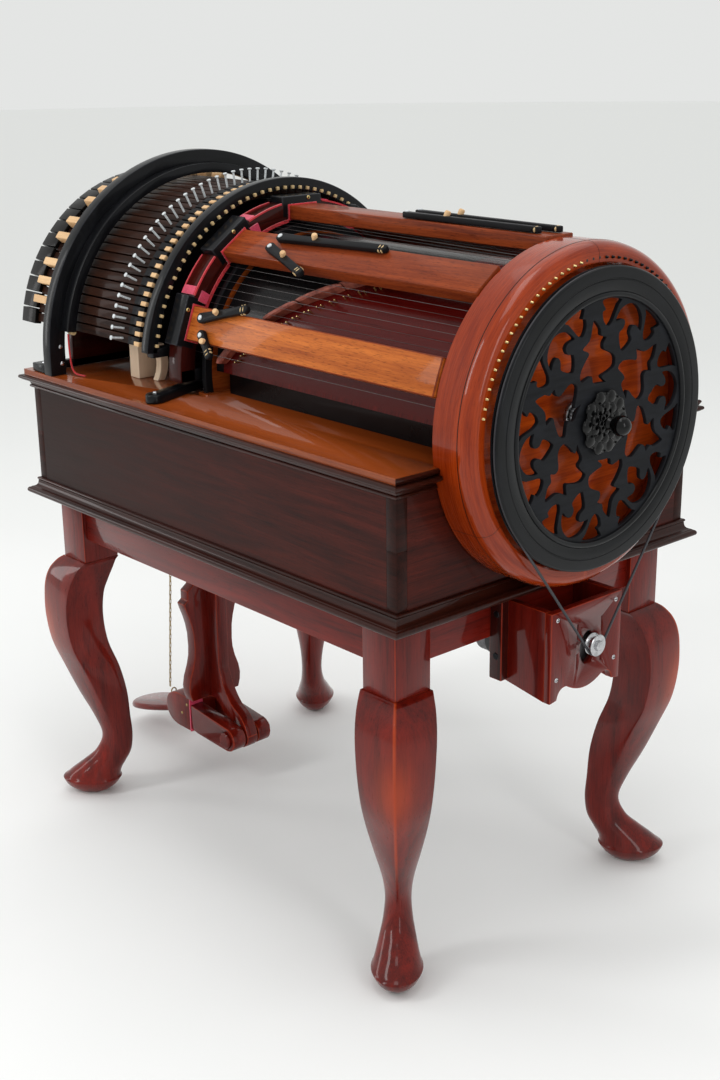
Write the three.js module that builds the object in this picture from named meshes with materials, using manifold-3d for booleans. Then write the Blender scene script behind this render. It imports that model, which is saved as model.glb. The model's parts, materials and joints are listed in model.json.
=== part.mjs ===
// Wheel-bowed keyboard string instrument: a half-drum of strings on a case with four cabriole
// legs, played by an arc of keys at the -X end and driven by a belted flywheel at the +X end.
// Millimetres, +Z up, +X towards the flywheel, floor at z = 0.

import * as THREE from 'three';
import { mergeVertices } from 'three/addons/utils/BufferGeometryUtils.js';
import Module from 'manifold-3d';

const wasm = await Module();
wasm.setup();

// ---------------------------------------------------------------- driving dimensions

const GAP = 0.3;                    // clearance left between touching pieces

// case
const CASE_HALF_LENGTH = 439;       // to the outer edge of the mouldings
const CASE_HALF_WIDTH = 298;
const CASE_TOP = 734;               // playing-deck surface
const CASE_BOTTOM = 531;
const WALL_INSET = 17.5;            // wall face behind the moulding edge
const WALL_THICKNESS = 18;
const DECK_THICKNESS = 9;
const TOP_MOULDING_HEIGHT = 20;
const BASE_MOULDING_HEIGHT = 26;
const BOTTOM_BOARD_THICKNESS = 10;

// stand
const LEG_BLOCK = 62;
const LEG_CORNER_X = 398;           // outer corner of a leg block
const LEG_CORNER_Y = 262;
const LEG_BLOCK_BOTTOM = 425;
const APRON_BOTTOM = 464;
const APRON_THICKNESS = 20;
const APRON_INSET = 7;              // apron face behind the leg block's face

// drum
const AXIS_Z = 765;                 // shaft, drum and keys share this axis
const HOOP_REAR = 422;
const HOOP_FRONT = 486;
const HOOP_BAND = 466;              // the plain band ends and the rounded front begins
const HOOP_RADIUS = 223;
const HOOP_OPENING = 196;
const HOOP_FLAT = 207;              // outer radius of the flat front ring
const HOOP_BOARD_FRONT = 452;
const HOOP_BOARD_THICKNESS = 12;
const BEARING_RADIUS = 18;
const BEARING_CLEARANCE = 0.4;

const BEAM_RADIUS = 226;
const BEAM_WIDTH = 50;
const BEAM_DEPTH = 20;
const BEAM_KEY_END = -84.5;
const BEAM_ANGLES = [20, 55, 90, 125, 160];

const SOUNDBOARD_RADIUS = 185;
const SOUNDBOARD_THICKNESS = 6;
const SOUNDBOARD_KEY_END = -62;
const SOUNDBOARD_END_ANGLE = 2;
const SOUNDBOARD_RAIL_Y = [150, 162];
const SOUNDBOARD_RAIL_TOP = 846;

// bridge: a strip that winds round the soundboard from the short strings to the long ones
const BRIDGE_START_ANGLE = 6;
const BRIDGE_END_ANGLE = 71;
const BRIDGE_START_X = -45;
const BRIDGE_LEAD = 2.9;            // mm of travel for each degree
const BRIDGE_QUICKENING = 0.037;    // extra travel for each degree squared
const BRIDGE_HEIGHT = 14;
const BRIDGE_WIDTH = 15;
const BRIDGE_STEPS = 16;

// flywheel and bowing wheel
const FLYWHEEL_FRONT = 505;
const FLYWHEEL_THICKNESS = 13;
const FLYWHEEL_RADIUS = 195;
const FLYWHEEL_RIM = 46;
const FLYWHEEL_HUB = 45;
const FLYWHEEL_SPOKES = 8;
const GROOVE_DEPTH = 5.5;
const SHAFT_RADIUS = 8;
const SHAFT_KEY_END = -128;
const ROSETTE_RADIUS = 41;
const ROSETTE_THICKNESS = 9;
const KNOB_RADIUS = 13.5;
const KNOB_TIP = 544;
const BOWING_WHEEL_RADIUS = 200;
const BOWING_WHEEL_X = -74;
const BOWING_WHEEL_THICKNESS = 9;

// frames and arches
const FRAME_X = [-115, -85.5];
const FRAME_INNER = 206;
const FRAME_OUTER = 232;
const FRAME_BLOCK = 239;
const FRAME_BLOCK_WIDTH = 74;
const FRAME_FOOT = 756;             // the ring stops here, clear of the lever on the deck
const FRAME_FOOT_HALF = 148;
const GUIDE_X = [-142, -126];
const GUIDE_INNER = 244;
const GUIDE_OUTER = 262;
const GUIDE_END_ANGLE = 7;
const GUIDE_LEG_Y = [110, 130];
const MIDDLE_BOARD_X = [-280, -268];
const MIDDLE_BOARD_HALF = 190;
const END_BOARD_X = [-400, -388];
const KEY_BOARD_RADIUS = 226;       // boards under the keys, clear of a pressed lever
const ARCH_X = [-366, -346];
const ARCH_INNER = 264;
const ARCH_OUTER = 292;
const RAIL_X = [-346, -326];
const RAIL_INNER = 257;
const RAIL_OUTER = 272;
const RED_CORD_RADIUS = 1.5;
const RED_CORD_ROUTE = [
  [-336, -263, 798], [-336, -263, 780], [-335.5, -262.5, 762], [-334, -261.5, 747],
  [-329, -260, 738.5], [-320, -258, 736], [-308, -255, 735.9],
];

// keys: 49 of them, from C at the near side round to C at the far side
const KEY_COUNT = 49;
const NATURAL_COUNT = 29;
const KEY_PITCH = 3.346;            // degrees between key levers
const NATURAL_PITCH = 5.717;        // degrees between natural heads
const KEY_TIP = -494;
const KEY_HEAD_END = -454;
const KEY_LEVER_END = -143.5;
const KEY_INNER = 236;
const KEY_LEVER_OUTER = 249;
const KEY_HEAD_OUTER = 254;
const KEY_HEAD_INNER = 242;
const KEY_LEVER_WIDTH = 12.4;
const KEY_HEAD_WIDTH = 22.9;
const SHARP_OUTER = 264;
const SHARP_X = [-450, -396];
const MOVING_KEYS = 12;             // the highest octave, nearest the front of the case
const KEY_NAMES = ['c', 'b', 'a_sharp', 'a', 'g_sharp', 'g', 'f_sharp', 'f', 'e', 'd_sharp', 'd', 'c_sharp'];
const KEY_RAIL_X = [-200, -180];
const KEY_RAIL_INNER = 227;

// motor
const PULLEY_Y = 6;
const PULLEY_Z = 460;
const PULLEY_RADIUS = 15;
const PULLEY_GROOVE = 11;
const BELT_CLEARANCE = 0.8;         // between the belt's inside and the bottom of each groove
const BELT_RADIUS = 2.1;
const BELT_X = 498;
const BOX_FRONT = 488;
const BOX_REAR = 401;
const BOX_HALF_WIDTH = 73;
const BOX_TOP = 519;
const BOX_BOTTOM = 392;
const BOX_WALL = 11;
const MOTOR_Z = 427;

// pedal
const PEDAL_Y = -20;
const PEDAL_PIVOT_X = -251;
const PEDAL_PIVOT_Z = 76;
const PEDAL_TIP = -587.1;
const PEDAL_BLOCK_X = [-430, -356];
const PEDAL_HALF_WIDTH = 40;
const PEG_RADIUS = 14;
const PLATE_ROOT_Z = 71;            // middle of the foot plate where it enters the block
const PLATE_THICKNESS = 13;
const PLATE_SLOPE = 14;             // degrees down towards the toe
const POST_X = -343;
const CHAIN_Y = -45;
const CHAIN_BOTTOM = [-438, 112];   // x and z of the chain's ends
const CHAIN_TOP = [-396, 585];
const CHAIN_HALF_WIDTH = 2.2;

// ---------------------------------------------------------------- finishes

const finish = (color, roughness, metalness = 0) =>
  new THREE.MeshStandardMaterial({ color, roughness, metalness });

const WALNUT = finish(0x2e1a14, 0.35);
const MOULDING = finish(0x35201a, 0.35);
const DECK_WOOD = finish(0xa35a28, 0.25);
const MAHOGANY = finish(0x6e2113, 0.25);
const HOOP_WOOD = finish(0xa23a14, 0.2);
const BEAM_WOOD = finish(0x9c5426, 0.4);
const SOUNDBOARD_WOOD = finish(0x4a120c, 0.15);
const BLACK = finish(0x17181b, 0.45);
const KEY_WOOD = finish(0x2d2019, 0.5);
const LEATHER = finish(0x9a5a4a, 0.7);
const STEEL = finish(0xb8bbc0, 0.3, 1);
const MOTOR_METAL = finish(0x8a8a8a, 0.45, 1);
const BRASS = finish(0xb08d45, 0.35, 1);
const BELT_RUBBER = finish(0x202226, 0.6);
const RED_CORD = finish(0xc01c2a, 0.6);

// ---------------------------------------------------------------- geometry helpers

const instrument = new THREE.Group();

function add(name, geometry, material) {
  const mesh = new THREE.Mesh(geometry, material);
  mesh.name = name;
  instrument.add(mesh);
  return mesh;
}

// Merges corners, drops empty faces, and turns an inside-out geometry the right way out.
function outward(geometry) {
  const clean = geometry.clone();
  clean.deleteAttribute('normal');
  clean.deleteAttribute('uv');
  const merged = mergeVertices(clean, 1e-3);
  const points = merged.attributes.position.array;
  const index = merged.index.array;
  const corner = [new THREE.Vector3(), new THREE.Vector3(), new THREE.Vector3()];
  const faces = [];
  let volume = 0;
  for (let i = 0; i < index.length; i += 3) {
    const [a, b, c] = [index[i], index[i + 1], index[i + 2]];
    if (a === b || b === c || a === c) continue;
    corner[0].fromArray(points, 3 * a);
    corner[1].fromArray(points, 3 * b);
    corner[2].fromArray(points, 3 * c);
    volume += corner[0].dot(corner[1].clone().cross(corner[2]));
    faces.push(a, b, c);
  }
  if (volume < 0) faces.reverse();
  const result = new THREE.BufferGeometry();
  result.setAttribute('position', new THREE.BufferAttribute(new Float32Array(points), 3));
  result.setIndex(faces);
  return result;
}

function toSolid(geometry) {
  const closed = outward(geometry);
  return new wasm.Manifold(new wasm.Mesh({
    numProp: 3,
    vertProperties: closed.attributes.position.array,
    triVerts: new Uint32Array(closed.index.array),
  }));
}

function toGeometry(solid) {
  const mesh = solid.getMesh();
  const geometry = new THREE.BufferGeometry();
  geometry.setAttribute('position', new THREE.BufferAttribute(new Float32Array(mesh.vertProperties), 3));
  geometry.setIndex([...mesh.triVerts]);
  return geometry;
}

const join = (...geometries) => toGeometry(geometries.map(toSolid).reduce((a, b) => a.add(b)));
const cut = (geometry, ...tools) => toGeometry(tools.map(toSolid).reduce((a, b) => a.subtract(b), toSolid(geometry)));

function box(x, y, z) {
  const geometry = new THREE.BoxGeometry(x[1] - x[0], y[1] - y[0], z[1] - z[0]);
  return geometry.translate((x[0] + x[1]) / 2, (y[0] + y[1]) / 2, (z[0] + z[1]) / 2);
}

const ALONG_X = new THREE.Matrix4().makeBasis(
  new THREE.Vector3(0, 1, 0), new THREE.Vector3(0, 0, 1), new THREE.Vector3(1, 0, 0));
const ALONG_Y = new THREE.Matrix4().makeBasis(
  new THREE.Vector3(1, 0, 0), new THREE.Vector3(0, 0, 1), new THREE.Vector3(0, -1, 0));

function extrude(shape, depth, curveSegments = 24) {
  return new THREE.ExtrudeGeometry(shape, { depth, bevelEnabled: false, curveSegments });
}

// A (Y, Z) outline swept from x[0] to x[1].
function extrudeX(shape, x, curveSegments) {
  return extrude(shape, x[1] - x[0], curveSegments).applyMatrix4(ALONG_X).translate(x[0], 0, 0);
}

// An (X, Z) outline swept from y[0] to y[1].
function extrudeY(shape, y, curveSegments) {
  return extrude(shape, y[1] - y[0], curveSegments).applyMatrix4(ALONG_Y).translate(0, y[1], 0);
}

function polygon(points) {
  return new THREE.Shape(points.map(([a, b]) => new THREE.Vector2(a, b)));
}

// A profile of [radius, x] points turned round the instrument's axis.
function turned(profile, segments, y = 0, z = AXIS_Z) {
  const points = profile.map(([radius, x]) => new THREE.Vector2(radius, x));
  const geometry = new THREE.LatheGeometry(points, segments);
  return geometry.rotateZ(-Math.PI / 2).translate(0, y, z);
}

const ring = (x, inner, outer, segments, y, z) => turned(
  [[inner, x[0]], [outer, x[0]], [outer, x[1]], [inner, x[1]], [inner, x[0]]], segments, y, z);

const disc = (x, radius, segments, y, z) => turned(
  [[0, x[0]], [radius, x[0]], [radius, x[1]], [0, x[1]]], segments, y, z);

// Puts a geometry made at the top of the drum round to an angle, 0 at the near side, 90 on top.
function aroundDrum(geometry, angle) {
  return geometry
    .translate(0, 0, -AXIS_Z)
    .rotateX(THREE.MathUtils.degToRad(90 - angle))
    .translate(0, 0, AXIS_Z);
}

// A bar along X that is width wide and spans inner to outer radius, at an angle round the drum.
function radialBar(x, inner, outer, width, angle) {
  return aroundDrum(box(x, [-width / 2, width / 2], [AXIS_Z + inner, AXIS_Z + outer]), angle);
}

// An arch outline: straight feet from floor up to the axis height, and a half circle above.
function archShape(inner, outer, foot) {
  const shape = new THREE.Shape();
  shape.moveTo(-outer, foot);
  shape.lineTo(-outer, AXIS_Z);
  shape.absarc(0, AXIS_Z, outer, Math.PI, 0, true);
  shape.lineTo(outer, foot);
  shape.lineTo(inner, foot);
  shape.lineTo(inner, AXIS_Z);
  shape.absarc(0, AXIS_Z, inner, 0, Math.PI, false);
  shape.lineTo(-inner, foot);
  return shape;
}

// Part of a flat ring between two angles measured from the near side.
function arcShape(inner, outer, from, to) {
  const start = Math.PI - THREE.MathUtils.degToRad(from);
  const end = Math.PI - THREE.MathUtils.degToRad(to);
  const shape = new THREE.Shape();
  shape.absarc(0, AXIS_Z, outer, start, end, true);
  shape.absarc(0, AXIS_Z, inner, end, start, false);
  return shape;
}

// ---------------------------------------------------------------- stand

// Sections down a cabriole leg: height, distance of the middle outward along the diagonal,
// half size along the diagonal and half size across it.
const LEG_SECTIONS = [
  [0, 24, 27, 17],
  [12, 26, 42, 26],
  [26, 25, 51, 33],
  [38, 20, 49, 32],
  [56, 1, 39, 26],
  [76, -15, 31, 20],
  [105, -23, 26, 18],
  [140, -16, 31, 22],
  [185, -3, 41, 32],
  [230, 12, 46, 41],
  [274, 29, 47, 47],
  [320, 35.5, 48, 51],
  [360, 33.5, 49.5, 53],
  [385, 27, 52, 53],
  [404, 18.5, 52, 51.5],
  [418, 9, 48.5, 49],
  [LEG_BLOCK_BOTTOM, 1.5, 45.5, 47],
];

// Four-cornered sections with one corner outward, each side slightly bowed.
function legGeometry(signX, signY) {
  const centreX = LEG_CORNER_X - LEG_BLOCK / 2;
  const centreY = LEG_CORNER_Y - LEG_BLOCK / 2;
  const sectionCorners = 8;
  const out = new THREE.Vector2(1, 1).normalize();
  const across = new THREE.Vector2(-out.y, out.x);
  const vertices = [];
  for (const [height, shift, halfOut, halfAcross] of LEG_SECTIONS) {
    for (let i = 0; i < sectionCorners; i += 1) {
      const turn = (i * 2 * Math.PI) / sectionCorners;
      const bow = i % 2 === 0 ? 1 : 0.76;
      const u = shift + halfOut * bow * Math.cos(turn);
      const v = halfAcross * bow * Math.sin(turn);
      vertices.push(
        signX * (centreX + out.x * u + across.x * v),
        signY * (centreY + out.y * u + across.y * v),
        height,
      );
    }
  }
  const rows = LEG_SECTIONS.length;
  const index = [];
  for (let row = 0; row < rows - 1; row += 1) {
    for (let i = 0; i < sectionCorners; i += 1) {
      const a = row * sectionCorners + i;
      const b = row * sectionCorners + ((i + 1) % sectionCorners);
      index.push(a, b, b + sectionCorners, a, b + sectionCorners, a + sectionCorners);
    }
  }
  for (let i = 1; i < sectionCorners - 1; i += 1) {
    index.push(0, i + 1, i);
    const top = (rows - 1) * sectionCorners;
    index.push(top, top + i, top + i + 1);
  }
  const curve = new THREE.BufferGeometry();
  curve.setAttribute('position', new THREE.BufferAttribute(new Float32Array(vertices), 3));
  curve.setIndex(index);
  const x = [signX * (LEG_CORNER_X - LEG_BLOCK), signX * LEG_CORNER_X].sort((a, b) => a - b);
  const y = [signY * (LEG_CORNER_Y - LEG_BLOCK), signY * LEG_CORNER_Y].sort((a, b) => a - b);
  return join(curve, box(x, y, [LEG_BLOCK_BOTTOM - 0.5, CASE_BOTTOM - GAP]));
}

function buildStand() {
  add('leg_front_right', legGeometry(1, -1), MAHOGANY);
  add('leg_front_left', legGeometry(-1, -1), MAHOGANY);
  add('leg_back_right', legGeometry(1, 1), MAHOGANY);
  add('leg_back_left', legGeometry(-1, 1), MAHOGANY);

  const z = [APRON_BOTTOM, CASE_BOTTOM - GAP];
  const innerX = LEG_CORNER_X - LEG_BLOCK - GAP;
  const innerY = LEG_CORNER_Y - LEG_BLOCK - GAP;
  const outerX = LEG_CORNER_X - APRON_INSET;
  const outerY = LEG_CORNER_Y - APRON_INSET;
  add('apron_front', box([-innerX, innerX], [-outerY, -outerY + APRON_THICKNESS], z), MAHOGANY);
  add('apron_back', box([-innerX, innerX], [outerY - APRON_THICKNESS, outerY], z), MAHOGANY);
  add('apron_key_end', box([-outerX, -outerX + APRON_THICKNESS], [-innerY, innerY], z), MAHOGANY);
  add('apron_wheel_end', box([outerX - APRON_THICKNESS, outerX], [-innerY, innerY], z), MAHOGANY);
}

// ---------------------------------------------------------------- case

const rectangle = (halfX, halfY) => polygon([[-halfX, -halfY], [halfX, -halfY], [halfX, halfY], [-halfX, halfY]]);

// A frame with the same outer and inner inset all round, between two heights.
function rectangularFrame(outerX, outerY, innerX, innerY, z) {
  const shape = rectangle(outerX, outerY);
  shape.holes.push(rectangle(innerX, innerY));
  return extrude(shape, z[1] - z[0]).translate(0, 0, z[0]);
}

function buildCase() {
  const wallX = CASE_HALF_LENGTH - WALL_INSET;
  const wallY = CASE_HALF_WIDTH - WALL_INSET;
  const insideX = wallX - WALL_THICKNESS;
  const insideY = wallY - WALL_THICKNESS;
  const deckBottom = CASE_TOP - DECK_THICKNESS;
  const hoopRelief = disc([HOOP_REAR - 0.2, FLYWHEEL_FRONT], HOOP_RADIUS + 0.8, 72);
  const wheelSlot = box([BOWING_WHEEL_X - 11, BOWING_WHEEL_X + 11],
    [-BOWING_WHEEL_RADIUS - 2, BOWING_WHEEL_RADIUS + 2], [deckBottom - 1, CASE_TOP + 1]);

  add('case_frame', rectangularFrame(wallX, wallY, insideX, insideY, [CASE_BOTTOM, deckBottom - GAP]), WALNUT);
  add('deck', cut(box(
    [-CASE_HALF_LENGTH + 3, CASE_HALF_LENGTH - 3], [-CASE_HALF_WIDTH + 3, CASE_HALF_WIDTH - 3],
    [deckBottom, CASE_TOP]), hoopRelief, wheelSlot), DECK_WOOD);

  const chainNotch = box([-insideX - 1, -insideX + 17], [CHAIN_Y - 7, CHAIN_Y + 7],
    [CASE_BOTTOM - 1, CASE_BOTTOM + BOTTOM_BOARD_THICKNESS + 1]);
  add('case_bottom', cut(box(
    [-insideX + GAP, insideX - GAP], [-insideY + GAP, insideY - GAP],
    [CASE_BOTTOM, CASE_BOTTOM + BOTTOM_BOARD_THICKNESS]), chainNotch), WALNUT);

  const mouldings = [
    ['moulding_top', [deckBottom - GAP - TOP_MOULDING_HEIGHT, deckBottom - GAP]],
    ['moulding_base', [CASE_BOTTOM, CASE_BOTTOM + BASE_MOULDING_HEIGHT]],
  ];
  for (const [name, z] of mouldings) {
    const frame = rectangularFrame(
      CASE_HALF_LENGTH, CASE_HALF_WIDTH, wallX + GAP, wallY + GAP, z);
    add(name, cut(frame, hoopRelief), MOULDING);
  }
}

// ---------------------------------------------------------------- hoop, beams and soundboard

function buildHoop() {
  const bead = [];
  const steps = 4;
  for (let i = 0; i <= steps; i += 1) {
    const turn = (i / steps) * (Math.PI / 2);
    bead.push([
      HOOP_FLAT + (HOOP_RADIUS - HOOP_FLAT) * Math.cos(turn),
      HOOP_BAND + (HOOP_FRONT - HOOP_BAND) * Math.sin(turn),
    ]);
  }
  const profile = [[HOOP_OPENING, HOOP_REAR], [HOOP_RADIUS, HOOP_REAR], ...bead,
    [HOOP_OPENING, HOOP_FRONT], [HOOP_OPENING, HOOP_REAR]];
  add('hoop_ring', turned(profile, 64), HOOP_WOOD);
  const boardBack = HOOP_BOARD_FRONT - HOOP_BOARD_THICKNESS;
  const bore = SHAFT_RADIUS + BEARING_CLEARANCE;
  add('hoop_board', turned([
    [bore, boardBack - 4], [BEARING_RADIUS, boardBack - 4], [BEARING_RADIUS, boardBack],
    [HOOP_OPENING - 2 * GAP, boardBack], [HOOP_OPENING - 2 * GAP, HOOP_BOARD_FRONT],
    [BEARING_RADIUS, HOOP_BOARD_FRONT], [BEARING_RADIUS, HOOP_BOARD_FRONT + 6],
    [bore, HOOP_BOARD_FRONT + 6], [bore, boardBack - 4],
  ], 48), HOOP_WOOD);
}

function buildBeams() {
  BEAM_ANGLES.forEach((angle, i) => {
    add(`beam_${i + 1}`, radialBar([BEAM_KEY_END, HOOP_REAR - GAP],
      BEAM_RADIUS - BEAM_DEPTH, BEAM_RADIUS, BEAM_WIDTH, angle), BEAM_WOOD);
  });
}

function bridgePoint(angle, radius) {
  const climbed = angle - BRIDGE_START_ANGLE;
  const x = BRIDGE_START_X + BRIDGE_LEAD * climbed + BRIDGE_QUICKENING * climbed * climbed;
  const turn = THREE.MathUtils.degToRad(angle);
  return new THREE.Vector3(x, -radius * Math.cos(turn), AXIS_Z + radius * Math.sin(turn));
}

// A strip of BRIDGE_WIDTH by BRIDGE_HEIGHT standing on the soundboard along the winding line.
function bridgeGeometry() {
  const inner = SOUNDBOARD_RADIUS + GAP;
  const outer = inner + BRIDGE_HEIGHT;
  const vertices = [];
  for (let i = 0; i <= BRIDGE_STEPS; i += 1) {
    const angle = BRIDGE_START_ANGLE + ((BRIDGE_END_ANGLE - BRIDGE_START_ANGLE) * i) / BRIDGE_STEPS;
    for (const [radius, side] of [[inner, -1], [inner, 1], [outer, 1], [outer, -1]]) {
      const point = bridgePoint(angle, radius);
      vertices.push(point.x + (side * BRIDGE_WIDTH) / 2, point.y, point.z);
    }
  }
  const index = [];
  for (let i = 0; i < BRIDGE_STEPS; i += 1) {
    for (let k = 0; k < 4; k += 1) {
      const a = 4 * i + k;
      const b = 4 * i + ((k + 1) % 4);
      index.push(a, b, b + 4, a, b + 4, a + 4);
    }
  }
  const last = 4 * BRIDGE_STEPS;
  index.push(0, 2, 1, 0, 3, 2, last, last + 1, last + 2, last, last + 2, last + 3);
  const geometry = new THREE.BufferGeometry();
  geometry.setAttribute('position', new THREE.BufferAttribute(new Float32Array(vertices), 3));
  geometry.setIndex(index);
  return outward(geometry);
}

// A half cylinder that ends just above the axis, on two rails set inwards on the deck.
function soundboardGeometry() {
  const x = [SOUNDBOARD_KEY_END, HOOP_REAR - GAP];
  const inner = SOUNDBOARD_RADIUS - SOUNDBOARD_THICKNESS;
  const skin = extrudeX(
    arcShape(inner, SOUNDBOARD_RADIUS, SOUNDBOARD_END_ANGLE, 180 - SOUNDBOARD_END_ANGLE), x, 36);
  const rails = [-1, 1].map((side) => {
    const y = SOUNDBOARD_RAIL_Y.map((distance) => side * distance).sort((a, b) => a - b);
    return box(x, y, [CASE_TOP + GAP, SOUNDBOARD_RAIL_TOP]);
  });
  return join(skin, ...rails);
}

function buildSoundboard() {
  add('soundboard', soundboardGeometry(), SOUNDBOARD_WOOD);
  add('bridge', bridgeGeometry(), LEATHER);
}

// ---------------------------------------------------------------- drive

function flywheelGeometry() {
  const back = FLYWHEEL_FRONT - FLYWHEEL_THICKNESS;
  const inner = FLYWHEEL_RADIUS - FLYWHEEL_RIM;
  const bottom = FLYWHEEL_RADIUS - GROOVE_DEPTH;
  const rim = turned([
    [inner, back], [FLYWHEEL_RADIUS, back],
    [FLYWHEEL_RADIUS, BELT_X - 4], [bottom, BELT_X - 2], [bottom, BELT_X + 2],
    [FLYWHEEL_RADIUS, BELT_X + 4], [FLYWHEEL_RADIUS, FLYWHEEL_FRONT],
    [inner, FLYWHEEL_FRONT], [inner, back],
  ], 64);
  const faceX = [back + 2, FLYWHEEL_FRONT - 2];
  const parts = [rim, ring(faceX, SHAFT_RADIUS - 2, FLYWHEEL_HUB, 32)];
  const spokeWidth = 26;
  for (let i = 0; i < FLYWHEEL_SPOKES; i += 1) {
    const angle = (i * 360) / FLYWHEEL_SPOKES;
    parts.push(radialBar(faceX, FLYWHEEL_HUB - 4, inner + 2, spokeWidth, angle));
  }
  return join(...parts);
}

function buildDrive() {
  const back = FLYWHEEL_FRONT - FLYWHEEL_THICKNESS;
  add('flywheel', flywheelGeometry(), BLACK);

  const rosetteBack = FLYWHEEL_FRONT - 2 + GAP;
  const rosetteFront = rosetteBack + ROSETTE_THICKNESS;
  add('hub_rosette', turned([
    [0, rosetteBack], [ROSETTE_RADIUS, rosetteBack], [ROSETTE_RADIUS - 6, rosetteFront - 3],
    [ROSETTE_RADIUS - 18, rosetteFront], [0, rosetteFront],
  ], 32), BLACK);

  const knobBase = rosetteFront + GAP;
  const knobCentre = KNOB_TIP - KNOB_RADIUS;
  const knobProfile = [[0, knobBase], [9, knobBase], [6.5, knobBase + 4]];
  for (let i = 0; i <= 6; i += 1) {
    const turn = -Math.PI / 3 + (i / 6) * ((5 * Math.PI) / 6);
    knobProfile.push([KNOB_RADIUS * Math.cos(turn), knobCentre + KNOB_RADIUS * Math.sin(turn)]);
  }
  knobProfile[knobProfile.length - 1][0] = 0;
  add('knob', turned(knobProfile, 20), BLACK);

  const wheelX = [BOWING_WHEEL_X - BOWING_WHEEL_THICKNESS / 2, BOWING_WHEEL_X + BOWING_WHEEL_THICKNESS / 2];
  add('main_shaft', turned([
    [0, SHAFT_KEY_END], [SHAFT_RADIUS, SHAFT_KEY_END], [SHAFT_RADIUS, back - GAP],
    [SHAFT_RADIUS - 2 - GAP, back - GAP], [SHAFT_RADIUS - 2 - GAP, FLYWHEEL_FRONT - 2],
    [0, FLYWHEEL_FRONT - 2],
  ], 24), STEEL);
  add('bowing_wheel', turned([
    [SHAFT_RADIUS + GAP, wheelX[0]], [BOWING_WHEEL_RADIUS, wheelX[0]],
    [BOWING_WHEEL_RADIUS, wheelX[1]], [26, wheelX[1]], [26, wheelX[1] + 10],
    [SHAFT_RADIUS + GAP, wheelX[1] + 10], [SHAFT_RADIUS + GAP, wheelX[0]],
  ], 64), DECK_WOOD);
}

// ---------------------------------------------------------------- key end

// The frame the beams are screwed to: it stands on a middle foot that also carries the shaft.
function keyEndFrameGeometry() {
  const arch = extrudeX(archShape(FRAME_INNER, FRAME_OUTER, FRAME_FOOT), FRAME_X, 32);
  const blocks = BEAM_ANGLES.map((angle) => (
    radialBar(FRAME_X, FRAME_INNER + 2, FRAME_BLOCK, FRAME_BLOCK_WIDTH, angle)));
  const sill = box(FRAME_X, [-FRAME_OUTER + 1, FRAME_OUTER - 1], [FRAME_FOOT, FRAME_FOOT + 18]);
  const foot = box(FRAME_X, [-FRAME_FOOT_HALF, FRAME_FOOT_HALF], [CASE_TOP + GAP, FRAME_FOOT + 1]);
  const boss = disc(FRAME_X, 26, 24);
  const bore = disc([FRAME_X[0] - 1, FRAME_X[1] + 1], SHAFT_RADIUS + BEARING_CLEARANCE, 24);
  return cut(join(arch, ...blocks, sill, foot, boss), bore);
}

// Half a disc with straight sides down to its foot, as a board across the drum.
function endBoardGeometry(x, radius, halfWidth) {
  const spring = Math.acos(halfWidth / radius);
  const springZ = AXIS_Z + radius * Math.sin(spring);
  const shape = new THREE.Shape();
  shape.moveTo(-halfWidth, CASE_TOP + GAP);
  shape.lineTo(-halfWidth, springZ);
  shape.absarc(0, AXIS_Z, radius, Math.PI - spring, spring, true);
  shape.lineTo(halfWidth, CASE_TOP + GAP);
  return extrudeX(shape, x, 32);
}

// The arc over the key tails, held by a bracket at each end on a base with a board under the keys.
function guideArchGeometry() {
  const arc = extrudeX(arcShape(GUIDE_INNER, GUIDE_OUTER, GUIDE_END_ANGLE, 180 - GUIDE_END_ANGLE), GUIDE_X, 32);
  const foot = CASE_TOP + GAP;
  const brackets = [-1, 1].flatMap((side) => {
    const barY = [side * GUIDE_LEG_Y[0], side * (GUIDE_INNER + 6)].sort((a, b) => a - b);
    const legY = [side * GUIDE_LEG_Y[0], side * GUIDE_LEG_Y[1]].sort((a, b) => a - b);
    return [
      box(GUIDE_X, barY, [AXIS_Z + 24, AXIS_Z + 38]),
      box(GUIDE_X, legY, [foot, AXIS_Z + 25]),
    ];
  });
  const base = box([MIDDLE_BOARD_X[0], GUIDE_X[1]], [-GUIDE_LEG_Y[1], GUIDE_LEG_Y[1]], [foot, foot + 10]);
  return join(arc, ...brackets, base, endBoardGeometry(MIDDLE_BOARD_X, KEY_BOARD_RADIUS, MIDDLE_BOARD_HALF));
}

function keyArchGeometry() {
  const foot = CASE_TOP + GAP;
  const arch = extrudeX(archShape(ARCH_INNER, ARCH_OUTER, foot), ARCH_X, 36);
  const rail = extrudeX(arcShape(RAIL_INNER, RAIL_OUTER, 8, 172), [RAIL_X[0] - 0.5, RAIL_X[1]], 32);
  const lugs = [-1, 1].map((side) => {
    const y = [side * (ARCH_INNER - 4), side * (ARCH_OUTER - 4)].sort((a, b) => a - b);
    return box([ARCH_X[0] - 42, ARCH_X[0] + 1], y, [foot, foot + 13]);
  });
  const sole = box(END_BOARD_X, [-ARCH_INNER - 6, ARCH_INNER + 6], [foot, foot + 13]);
  return join(arch, rail, ...lugs, sole, endBoardGeometry(END_BOARD_X, KEY_BOARD_RADIUS, KEY_BOARD_RADIUS));
}

// The short red cord: down from the rail's end, then along the deck.
function redCordGeometry() {
  const route = new THREE.CatmullRomCurve3(RED_CORD_ROUTE.map((point) => new THREE.Vector3(...point)));
  const section = new THREE.Shape();
  section.absarc(0, 0, RED_CORD_RADIUS, 0, 2 * Math.PI, false);
  return new THREE.ExtrudeGeometry(section, {
    extrudePath: route, steps: 20, bevelEnabled: false, curveSegments: 8,
  });
}

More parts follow.
